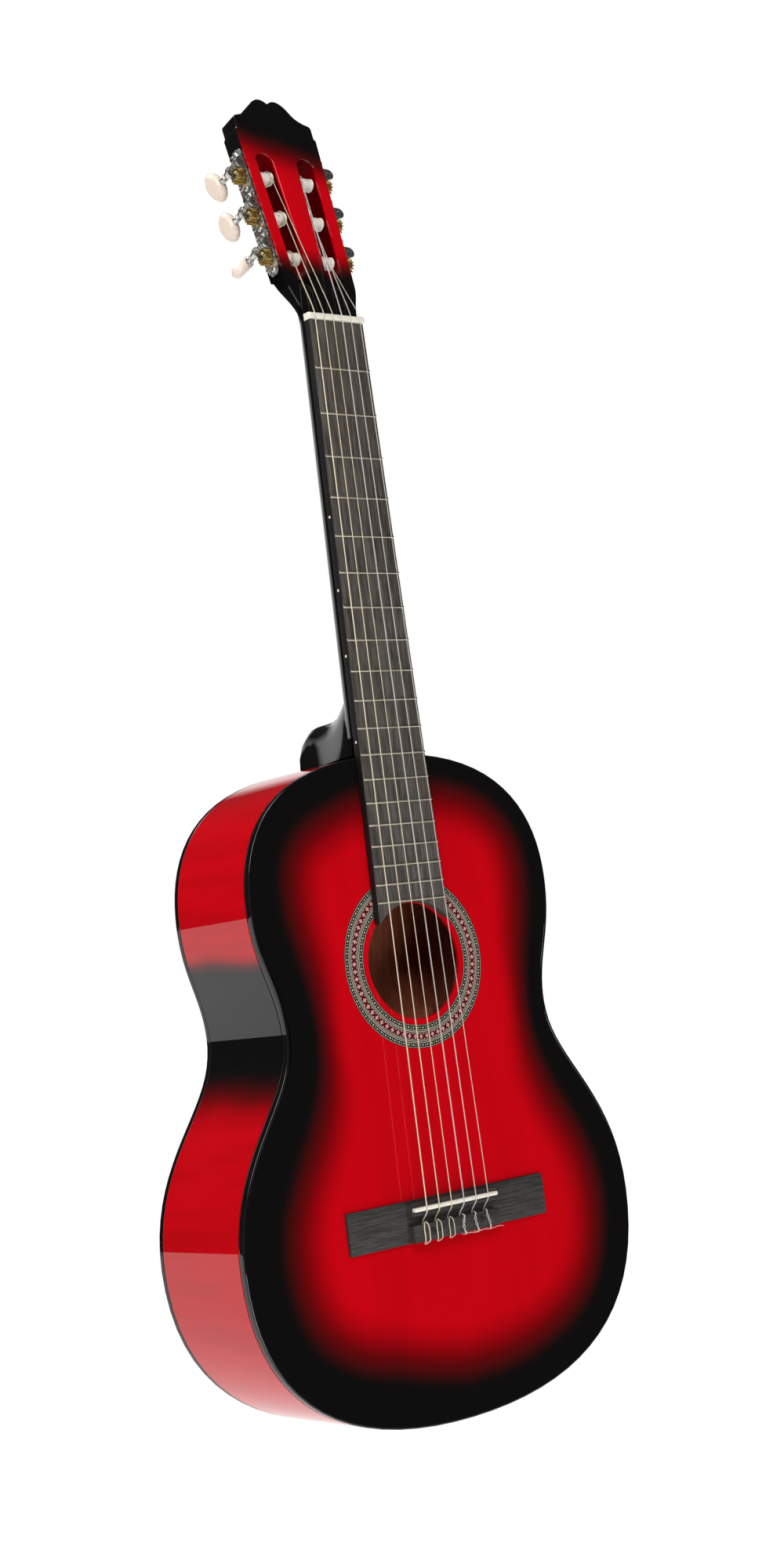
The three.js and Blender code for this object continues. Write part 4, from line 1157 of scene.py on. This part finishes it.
class GUITAR_OT_tuner_plates(bpy.types.Operator):
    """Adds the two plated strips with their raised edges, domes and screws"""
    bl_idname = "guitar.tuner_plates"
    bl_label = "Tuner plates"

    def execute(self, context):
        sizes, colours = context.scene.guitar_sizes, context.scene.guitar_colours
        chrome = metal_paint("plated_plate", tuple(colours.chrome), tuple(colours.chrome_shade),
                             0.30, 330)
        screw_steel = metal_paint("screw_steel", tuple(colours.chrome),
                                  tuple(colours.chrome_shade), 0.25, 200)
        for side, word, first in ((1, "treble", 1), (-1, "bass", 6)):
            place = post_frame(first)
            node = f"tuner_plate_{word}"
            plate = copy_node(node, node + "_embossed")
            rounded(plate, 0.25 * MM, 2, 40)
            face = side * sizes.plate_face * MM
            spacing = sizes.tuner_spacing * MM
            half = sizes.plate_half_height * MM
            extras = []
            for step in range(3):
                up = step * spacing
                for edge in (-1, 1):
                    extras.append(scroll(face, side, edge * half * 0.62, up - 6.5 * MM, edge, -1))
                    extras.append(scroll(face, side, edge * half * 0.62, up + 17.5 * MM, edge, 1))
                extras.append(dome(face, side, 0, up + 17.5 * MM, 3.1 * MM, 1.3 * MM))
                for edge in (-1, 1):
                    extras.append(dome(face, side, edge * half * 0.80, up + 12.5 * MM,
                                       1.0 * MM, 0.7 * MM))
                    extras.append(dome(face, side, edge * half * 0.86, up - 1 * MM,
                                       0.9 * MM, 0.6 * MM))
            for up in (-10.5, 90):
                extras.append(dome(face, side, 0, (up - 3.2 * (1 if up > 0 else -1)) * MM,
                                   3.3 * MM, 0.5 * MM))
            for extra in extras:
                moved(extra, place)
            whole = together(node + "_embossed", [plate] + extras)
            smooth(whole, 40)
            finish(whole, BODY, "plated_steel", chrome, node)
            for count, up in enumerate((-10.8, 24.2, 59.2, 87.0)):
                screw = screw_head(f"plate_screw_{word}_{count + 1}", 2.1 * MM, 1.1 * MM,
                                   20 + 50 * count)
                moved(screw, place @ Matrix.Translation((face + side * 0.3 * MM, -0.4 * MM,
                                                         up * MM))
                      @ Matrix.Rotation(side * math.pi / 2, 4, "Y"))
                finish(screw, BODY, "plated_steel", screw_steel)
        return {"FINISHED"}


def dome(face, side, behind, up, radius, height):
    """A low round boss on a plate, open to nothing: it sinks a little into the plate."""
    sunk = -0.3 * MM
    boss = turned("boss", [(0, sunk), (radius, sunk), (radius, 0),
                           (radius * 0.9, height * 0.45), (radius * 0.62, height * 0.82),
                           (radius * 0.3, height * 0.97), (0, height)], "Z", 20)
    return moved(boss, Matrix.Translation((face, behind, up))
                 @ Matrix.Rotation(side * math.pi / 2, 4, "Y"))


def scroll(face, side, behind, up, edge, turn):
    """A raised curl of wire-like relief on a plate."""
    points = []
    for i in range(11):
        share = i / 10
        angle = share * math.tau * 0.8
        reach = (3.1 - 2.0 * share) * MM
        points.append((face + side * 0.12 * MM, behind - edge * (reach * math.cos(angle) - 1.4 * MM),
                       up + turn * reach * math.sin(angle)))
    return tube("curl", points, 0.32 * MM, 2, True, 3)


def screw_head(name, radius, height, turn):
    """A domed screw head with a cross-shaped slot, its top towards +Z."""
    head = turned(name, [(0, -0.5 * MM), (radius * 0.9, -0.5 * MM), (radius, 0.1 * MM),
                         (radius * 0.86, height * 0.6), (radius * 0.5, height * 0.93),
                         (0, height)], "Z", 28)
    for angle in (turn, turn + 90):
        bar = block("slot", (-radius * 0.7, -radius * 0.13, height * 0.45),
                    (radius * 0.7, radius * 0.13, height * 2))
        moved(bar, Matrix.Rotation(math.radians(angle), 4, "Z"))
        cut(head, bar)
    return smooth(head, 40)


# Radius and height, in millimetres, of a gear's washer.
WASHER_PROFILE = ((2.3, -0.2), (3.4, -0.2), (3.4, 0.25), (3.1, 0.45), (2.3, 0.45), (2.3, -0.2))
# Radius and distance from the button, in millimetres, of the turned collar on a worm's shaft.
COLLAR_PROFILE = ((1.4, -7.5), (2.3, -7.2), (2.5, -6.4), (1.9, -5.8), (2.6, -5.2), (2.6, -4.4),
                  (2.1, -3.8), (2.9, -3.0), (3.1, -1.6), (2.9, -0.4), (1.4, -0.35), (1.4, -7.5))


class GUITAR_OT_tuners(bpy.types.Operator):
    """Adds the six worm tuners: gear, worm shaft, button, roller and screw"""
    bl_idname = "guitar.tuners"
    bl_label = "Tuners"

    def execute(self, context):
        colours = context.scene.guitar_colours
        chrome = metal_paint("worm_steel", tuple(colours.chrome), tuple(colours.chrome_shade),
                             0.26, 260)
        brass = metal_paint("gear_brass", tuple(colours.brass), tuple(colours.brass_shade),
                            0.28, 300)
        dark = metal_paint("gear_screw_steel", tuple(c * 0.18 for c in colours.chrome),
                           tuple(c * 0.1 for c in colours.chrome), 0.35, 300)
        cream = plastic_paint("button_cream", tuple(colours.cream_button), 0.25, 0.985)
        white = plastic_paint("roller_white", tuple(colours.roller), 0.42, 0.92)
        for number in STRINGS:
            self.gear(number, brass, dark)
            self.roller(number, white, chrome)
            self.key(number, chrome, cream)
        return {"FINISHED"}

    def gear(self, number, brass, dark):
        node = f"gear_{number}"
        gear = rounded(copy_node(node, f"gear_{number}_cut"), 0.3 * MM, 3, 30)
        sizes = bpy.context.scene.guitar_sizes
        side = side_of(number)
        body = f"post_{number}"
        finish(gear, body, "gear_brass", brass, node)
        outside = sizes.gear_face * MM
        washer = turned(f"gear_washer_{number}",
                        [(reach * MM, up * MM) for reach, up in WASHER_PROFILE], "Z", 32)
        out = post_frame(number) @ Matrix.Translation((side * outside, 0, 0)) \
            @ Matrix.Rotation(side * math.pi / 2, 4, "Y")
        moved(washer, out)
        smooth(washer, 30)
        finish(washer, body, "gear_brass", brass)
        screw = screw_head(f"gear_screw_{number}", 2.5 * MM, 0.9 * MM, 15 + 40 * number)
        moved(screw, out @ Matrix.Translation((0, 0, 0.35 * MM)))
        finish(screw, body, "plated_steel", dark)

    def roller(self, number, white, chrome):
        sizes = bpy.context.scene.guitar_sizes
        side = side_of(number)
        body = f"post_{number}"
        outer, inner = barrel_ends()
        barrel_radius = sizes.barrel_radius * MM
        waist = barrel_radius - 0.45 * MM
        length = inner - outer
        barrel = turned(f"roller_barrel_{number}", [
            (0, outer + 0.3 * MM), (barrel_radius - 0.5 * MM, outer + 0.3 * MM),
            (barrel_radius, outer + 0.8 * MM), (barrel_radius, outer + 1.6 * MM),
            (waist, outer + 2.1 * MM), (waist, inner - 2.1 * MM),
            (barrel_radius, inner - 1.6 * MM), (barrel_radius, inner - 0.8 * MM),
            (barrel_radius - 0.5 * MM, inner - 0.3 * MM), (0, inner - 0.3 * MM)], "X", 40)
        if side > 0:
            moved(barrel, Matrix.Rotation(math.pi, 4, "Z"))
        middle = -side * (outer + length * 0.5)
        hole = rod("hole", 0.9 * MM, (middle, -8 * MM, 0), (middle, 8 * MM, 0), 16)
        cut(barrel, hole)
        moved(barrel, post_frame(number) @ Matrix.Rotation(math.radians(37 * number), 4, "X"))
        smooth(barrel, 35)
        finish(barrel, body, "roller_plastic", white, f"roller_{number}")
        shaft = turned(f"roller_shaft_{number}", [
            (0, sizes.gear_face * MM - 0.4 * MM), (2.1 * MM, sizes.gear_face * MM - 0.4 * MM),
            (2.1 * MM, 2.2 * MM), (3.0 * MM, 2.1 * MM), (3.0 * MM, -outer - 0.1 * MM),
            (0, -outer - 0.1 * MM)], "X", 28)
        stub = turned("stub", [(0, -inner + 0.2 * MM), (2.5 * MM, -inner + 0.2 * MM),
                               (2.5 * MM, -inner - 5 * MM), (0, -inner - 5 * MM)], "X", 28)
        shaft = together(f"roller_shaft_{number}", [shaft, stub])
        if side < 0:
            moved(shaft, Matrix.Rotation(math.pi, 4, "Z"))
        moved(shaft, post_frame(number))
        smooth(shaft, 35)
        finish(shaft, body, "plated_steel", chrome)

    def key(self, number, chrome, cream):
        sizes = bpy.context.scene.guitar_sizes
        body = f"key_{number}"
        worm = smooth(copy_node(f"worm_{number}", f"worm_shaft_{number}"), 50)
        joint = JOINTS[f"key_{number}_turn"]
        along = Vector(joint["axis"]).normalized()
        place = Matrix.Translation(Vector(joint["pos_m"])) \
            @ along.to_track_quat("Z", "Y").to_matrix().to_4x4()
        near = (low(f"button_{number}") + high(f"button_{number}")) / 2
        middle = (near - Vector(joint["pos_m"])).dot(along)
        start = middle - sizes.button_length * MM / 2
        collar = turned("collar", [(reach * MM, start + along_shaft * MM)
                                   for reach, along_shaft in COLLAR_PROFILE], "Z", 32)
        moved(collar, place)
        shaft = together(f"worm_shaft_{number}", [worm, collar])
        smooth(shaft, 40)
        finish(shaft, body, "plated_steel", chrome, f"worm_{number}")
        button = copy_node(f"button_{number}", f"button_{number}_oval")
        refine(button, 2, 25, 0.5)
        swell = button_scale(button, f"button_{number}")
        moved(button, swell)
        smooth(button, 80)
        finish(button, body, "button_plastic", cream, f"button_{number}")


def button_scale(button, node):
    """Brings a smoothed button back to its node's size, about its own middle."""
    lowest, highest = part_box(node)
    middle = (lowest + highest) / 2
    now = [Vector(corner) for corner in button.bound_box]
    spans = [max(c[i] for c in now) - min(c[i] for c in now) for i in range(3)]
    wanted = highest - lowest
    scale = sum(wanted[i] / spans[i] for i in range(3)) / 3
    return Matrix.Translation(middle) @ Matrix.Scale(scale, 4) @ Matrix.Translation(-middle)


# ------------------------------------------------------------------ stage


class GUITAR_OT_stage(bpy.types.Operator):
    """Adds the pale floor, the soft studio light and the camera"""
    bl_idname = "guitar.stage"
    bl_label = "Floor, light and camera"

    def execute(self, context):
        scene = context.scene
        scene.view_settings.view_transform = "Standard"
        self.camera(scene)
        self.floor()
        self.sky(scene)
        self.lamp("key_light", place=(-1.6, -2.2, 1.3), target=(0, 0, -0.4),
                  width=1.6, height=1.6, power=54)
        self.lamp("fill_light", place=(-0.2, -2.6, -1.4), target=(0, 0, -0.4),
                  width=1.8, height=0.8, power=22)
        self.lamp("edge_light", place=(-2.2, -1.5, 1.2), target=(0, 0, -0.1),
                  width=0.2, height=4.4, power=14)
        self.lamp("top_light", place=(-0.7, 0.5, 1.7), target=(0, 0, -0.4),
                  width=1.4, height=1.0, power=34)
        return {"FINISHED"}

    def camera(self, scene):
        lens = bpy.data.cameras.new("camera")
        lens.sensor_width = 36
        lens.lens = CAMERA_LENS
        camera = bpy.data.objects.new("camera", lens)
        scene.collection.objects.link(camera)
        yaw, pitch, roll = CAMERA_TURN
        ahead = Vector((math.sin(yaw) * math.cos(pitch), math.cos(yaw) * math.cos(pitch),
                        math.sin(pitch)))
        right = ahead.cross(Vector((0, 0, 1))).normalized()
        above = right.cross(ahead)
        tilted_right = right * math.cos(roll) + above * math.sin(roll)
        tilted_up = above * math.cos(roll) - right * math.sin(roll)
        turn = Matrix((tilted_right, tilted_up, -ahead)).transposed().to_4x4()
        camera.matrix_world = Matrix.Translation(CAMERA_PLACE) @ turn
        scene.camera = camera

    def floor(self):
        """A pale floor lit evenly from within, that runs far back and ends a little in front."""
        deselect()
        floor = block("floor", (-FLOOR_REACH, FLOOR_FRONT, -FLOOR_THICKNESS),
                      (FLOOR_REACH, FLOOR_REACH, 0))
        moved(floor, Matrix.Translation((0, 0, CAD_BOX[0][2] - FLOOR_BELOW)))
        paint = Paint("floor_pale", roughness=0.9, specular_ior_level=0.0,
                      emission_strength=1.0)
        x, y, _ = paint.place()
        far = ((x * x + y * y) ** 0.5).ramp(0.3, 7.0)
        glow = paint.blend(far, (0.84, 0.84, 0.84), (1.04, 1.04, 1.04))
        paint.give(base_color=(0.6, 0.6, 0.6), emission_color=glow)
        floor.data.materials.append(paint.material)

    def sky(self, scene):
        """A white backdrop to look at, and a dimmer room for the gloss to mirror."""
        world = bpy.data.worlds.new("studio")
        scene.world = world
        backdrop = Backdrop(world)
        x, y, z = backdrop.toward()
        beside = (y * WINDOW_SLANT + x).ramp(-WINDOW_SOFT, WINDOW_SOFT, kind="LINEAR")
        behind = y.ramp(0.0, WINDOW_DEPTH, 0.0, WINDOW_LEVEL, kind="LINEAR")
        below = z.ramp(WINDOW_TOP - WINDOW_FADE, WINDOW_TOP, 1.0, 0.0, kind="LINEAR")
        room = backdrop.white(beside * below * behind + ROOM_LEVEL)
        path = backdrop.node("ShaderNodeLightPath", {}, {})
        mix = backdrop.node("ShaderNodeMixShader", {}, {
            0: Signal(backdrop, path.outputs["Is Camera Ray"]), 1: room, 2: backdrop.white(1.0)})
        backdrop.node("ShaderNodeOutputWorld", {}, {0: Signal(backdrop, mix.outputs[0])})

    def lamp(self, name, place, target, width, height, power):
        light = bpy.data.lights.new(name, "AREA")
        light.shape = "RECTANGLE"
        light.size, light.size_y = width, height
        light.energy = power
        lamp = bpy.data.objects.new(name, light)
        bpy.context.scene.collection.objects.link(lamp)
        lamp.location = place
        look = Vector(target) - Vector(place)
        lamp.rotation_euler = look.to_track_quat("-Z", "Y").to_euler()


# ------------------------------------------------------------------ what a user may change


def length(name, text, default):
    return FloatProperty(name=name, description=text + ", in millimetres", default=default,
                         min=0.0)


def colour(name, text, default):
    return FloatVectorProperty(name=name, description=text, default=default, subtype="COLOR",
                               size=3, min=0.0, max=1.0)


SCALE_LENGTH = 650 * MM
FRETS = 19
HOLE_Z = (low("rosette").z + high("rosette").z) / 2
HOLE_RADIUS = 42.2 * MM
RING_INNER = 46.5 * MM
UPPER_Z, WAIST_Z, LOWER_Z = -424.5 * MM, -520 * MM, -671 * MM
CAMERA_PLACE = Vector((-1.02422, -1.26638, -0.47868))
CAMERA_TURN = (0.678, 0.081, -0.130)
CAMERA_LENS = 51.17
FLOOR_BELOW = 0.9
FLOOR_FRONT = -2.6
FLOOR_REACH = 40
FLOOR_THICKNESS = 0.02
# The bright side of the room that the gloss mirrors, in shares of the direction looked in.
WINDOW_SLANT = 0.21
WINDOW_SOFT = 0.03
WINDOW_DEPTH = 0.3
WINDOW_TOP = 0.42
WINDOW_FADE = 0.12
WINDOW_LEVEL = 0.9
ROOM_LEVEL = 0.04


class GuitarSizes(bpy.types.PropertyGroup):
    """Sizes of the guitar's pieces"""
    upper_half_width: length("Upper bout", "Half width of the upper bout", 139)
    waist_half_width: length("Waist", "Half width of the waist", 121)
    grid_step: length("Face grid", "Size of the faces on the soundboard", 5)
    burst_black: length("Black edge", "Width of the black edge of the front", 20)
    burst_fade: length("Fade", "Width of the fade from black to red", 50)
    binding_round: length("Binding round", "Rounding of the bindings' edges", 0.9)
    board_half_at_body: length("Board half width", "Half width of the board at the body", 30.4)
    fret_width: length("Fret width", "Width of a fret wire", 2.0)
    fret_height: length("Fret height", "Height of a fret wire over the board", 1.0)
    nut_spacing: length("Nut spacing", "Distance between strings at the nut", 8.4)
    saddle_spacing: length("Saddle spacing", "Distance between strings at the saddle", 11.6)
    treble_thin: length("String 1", "Thickness of string 1", 0.71)
    treble_thick: length("String 3", "Thickness of string 3", 1.02)
    bass_thin: length("String 4", "Thickness of string 4", 0.76)
    bass_thick: length("String 6", "Thickness of string 6", 1.1)
    winding_pitch: length("Winding pitch", "Distance between turns of the bass strings' wire", 0.5)
    winding_turns: FloatProperty(name="Turns", description="Turns of a string on its roller",
                                 default=1.5, min=1.0)
    neck_round: length("Neck round", "Rounding of the head's edges", 1.0)
    head_start: length("Head start", "Height up the head where its sharp edges begin", 50)
    tie_length: length("Tie block", "Length of the tie block along the strings", 12.5)
    plug_place: length("Plug place", "Distance of a bridge plug from the centre line", 23)
    slot_outer: length("Slot's outer wall", "From the head's side to the string slot", 9.2)
    slot_inner: length("Slot's inner wall", "From the head's side to the slot's far wall", 24.9)
    barrel_radius: length("Roller radius", "Radius of a string roller", 5.2)
    gear_face: length("Gear face", "From the head's side to the gear's outer face", 8.1)
    plate_face: length("Plate face", "From the head's side to the plate's outer face", 1.5)
    plate_half_height: length("Plate half height", "Half height of a tuner plate", 6.6)
    tuner_spacing: length("Tuner spacing", "Distance between two tuners", 35)
    button_length: length("Button length", "Length of a button along its shaft", 17)
    rosette_lines: IntProperty(name="Rosette lines", description="Fine lines across the rosette",
                               default=15, min=1)
    rosette_checks: IntProperty(name="Rosette checks", description="Checks round the outer ring",
                                default=88, min=1)
    rosette_crosses: IntProperty(name="Rosette crosses", description="Crosses round the red ring",
                                 default=64, min=1)


class GuitarColours(bpy.types.PropertyGroup):
    """Colours of the guitar's finishes, as linear values"""
    red: colour("Red", "Red of the lacquer", (0.58, 0.0, 0.005))
    red_shade: colour("Red shade", "Red where it turns to black", (0.17, 0.0, 0.002))
    black: colour("Black", "Black of the lacquer", (0.0035, 0.0030, 0.0030))
    bare_wood: colour("Bare wood", "Wood inside the body", (0.60, 0.17, 0.08))
    board: colour("Fingerboard", "Dark wood of the fingerboard", (0.070, 0.062, 0.055))
    board_warm: colour("Fingerboard streaks", "Warmer streaks", (0.085, 0.062, 0.048))
    bridge: colour("Bridge", "Charcoal wood of the bridge", (0.034, 0.032, 0.030))
    ivory: colour("Ivory", "Nut and saddle", (0.86, 0.83, 0.72))
    cream_button: colour("Buttons", "Cream of the buttons", (0.80, 0.67, 0.57))
    roller: colour("Rollers", "Off-white of the rollers", (0.82, 0.76, 0.68))
    nickel: colour("Nickel", "Fret wire", (0.62, 0.58, 0.47))
    nickel_shade: colour("Nickel shade", "Darker fret wire", (0.45, 0.42, 0.34))
    chrome: colour("Chrome", "Plated steel", (0.70, 0.68, 0.64))
    chrome_shade: colour("Chrome shade", "Tarnish on plated steel", (0.15, 0.145, 0.135))
    brass: colour("Brass", "Gears", (0.62, 0.45, 0.16))
    brass_shade: colour("Brass shade", "Tarnish on brass", (0.24, 0.16, 0.05))
    wound: colour("Wound string", "Winding wire", (0.86, 0.76, 0.56))
    nylon: colour("Nylon", "Plain strings", (0.84, 0.80, 0.74))
    cream: colour("Rosette cream", "Pale lines of the rosette", (0.60, 0.53, 0.42))
    ink: colour("Rosette ink", "Dark lines of the rosette", (0.010, 0.010, 0.010))
    pale_green: colour("Rosette green", "Checks of the rosette", (0.46, 0.54, 0.40))
    dark_red: colour("Rosette red", "Ground of the red ring", (0.075, 0.004, 0.006))
    pink: colour("Rosette pink", "Crosses of the red ring", (0.78, 0.42, 0.42))


OPERATORS = (
    GUITAR_OT_soundboard, GUITAR_OT_body_shell, GUITAR_OT_neck, GUITAR_OT_fingerboard,
    GUITAR_OT_nut_and_saddle, GUITAR_OT_bridge, GUITAR_OT_strings, GUITAR_OT_tuner_plates,
    GUITAR_OT_tuners, GUITAR_OT_stage,
)


class GUITAR_PT_panel(bpy.types.Panel):
    """Lists the guitar's pieces, sizes and colours"""
    bl_idname = "GUITAR_PT_panel"
    bl_label = "Classical guitar"
    bl_space_type = "VIEW_3D"
    bl_region_type = "UI"
    bl_category = "Guitar"

    def draw(self, context):
        column = self.layout.column()
        for operator in OPERATORS:
            column.operator(operator.bl_idname)
        for group in (context.scene.guitar_sizes, context.scene.guitar_colours):
            for name in group.__annotations__:
                column.prop(group, name)


CLASSES = (GuitarSizes, GuitarColours, *OPERATORS, GUITAR_PT_panel)


def register():
    for item in CLASSES:
        bpy.utils.register_class(item)
    bpy.types.Scene.guitar_sizes = PointerProperty(type=GuitarSizes)
    bpy.types.Scene.guitar_colours = PointerProperty(type=GuitarColours)


def unregister():
    del bpy.types.Scene.guitar_sizes
    del bpy.types.Scene.guitar_colours
    for item in reversed(CLASSES):
        bpy.utils.unregister_class(item)


def main():
    register()
    for operator in OPERATORS:
        group, name = operator.bl_idname.split(".")
        getattr(getattr(bpy.ops, group), name)()
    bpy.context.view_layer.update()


if __name__ == "__main__":
    main()
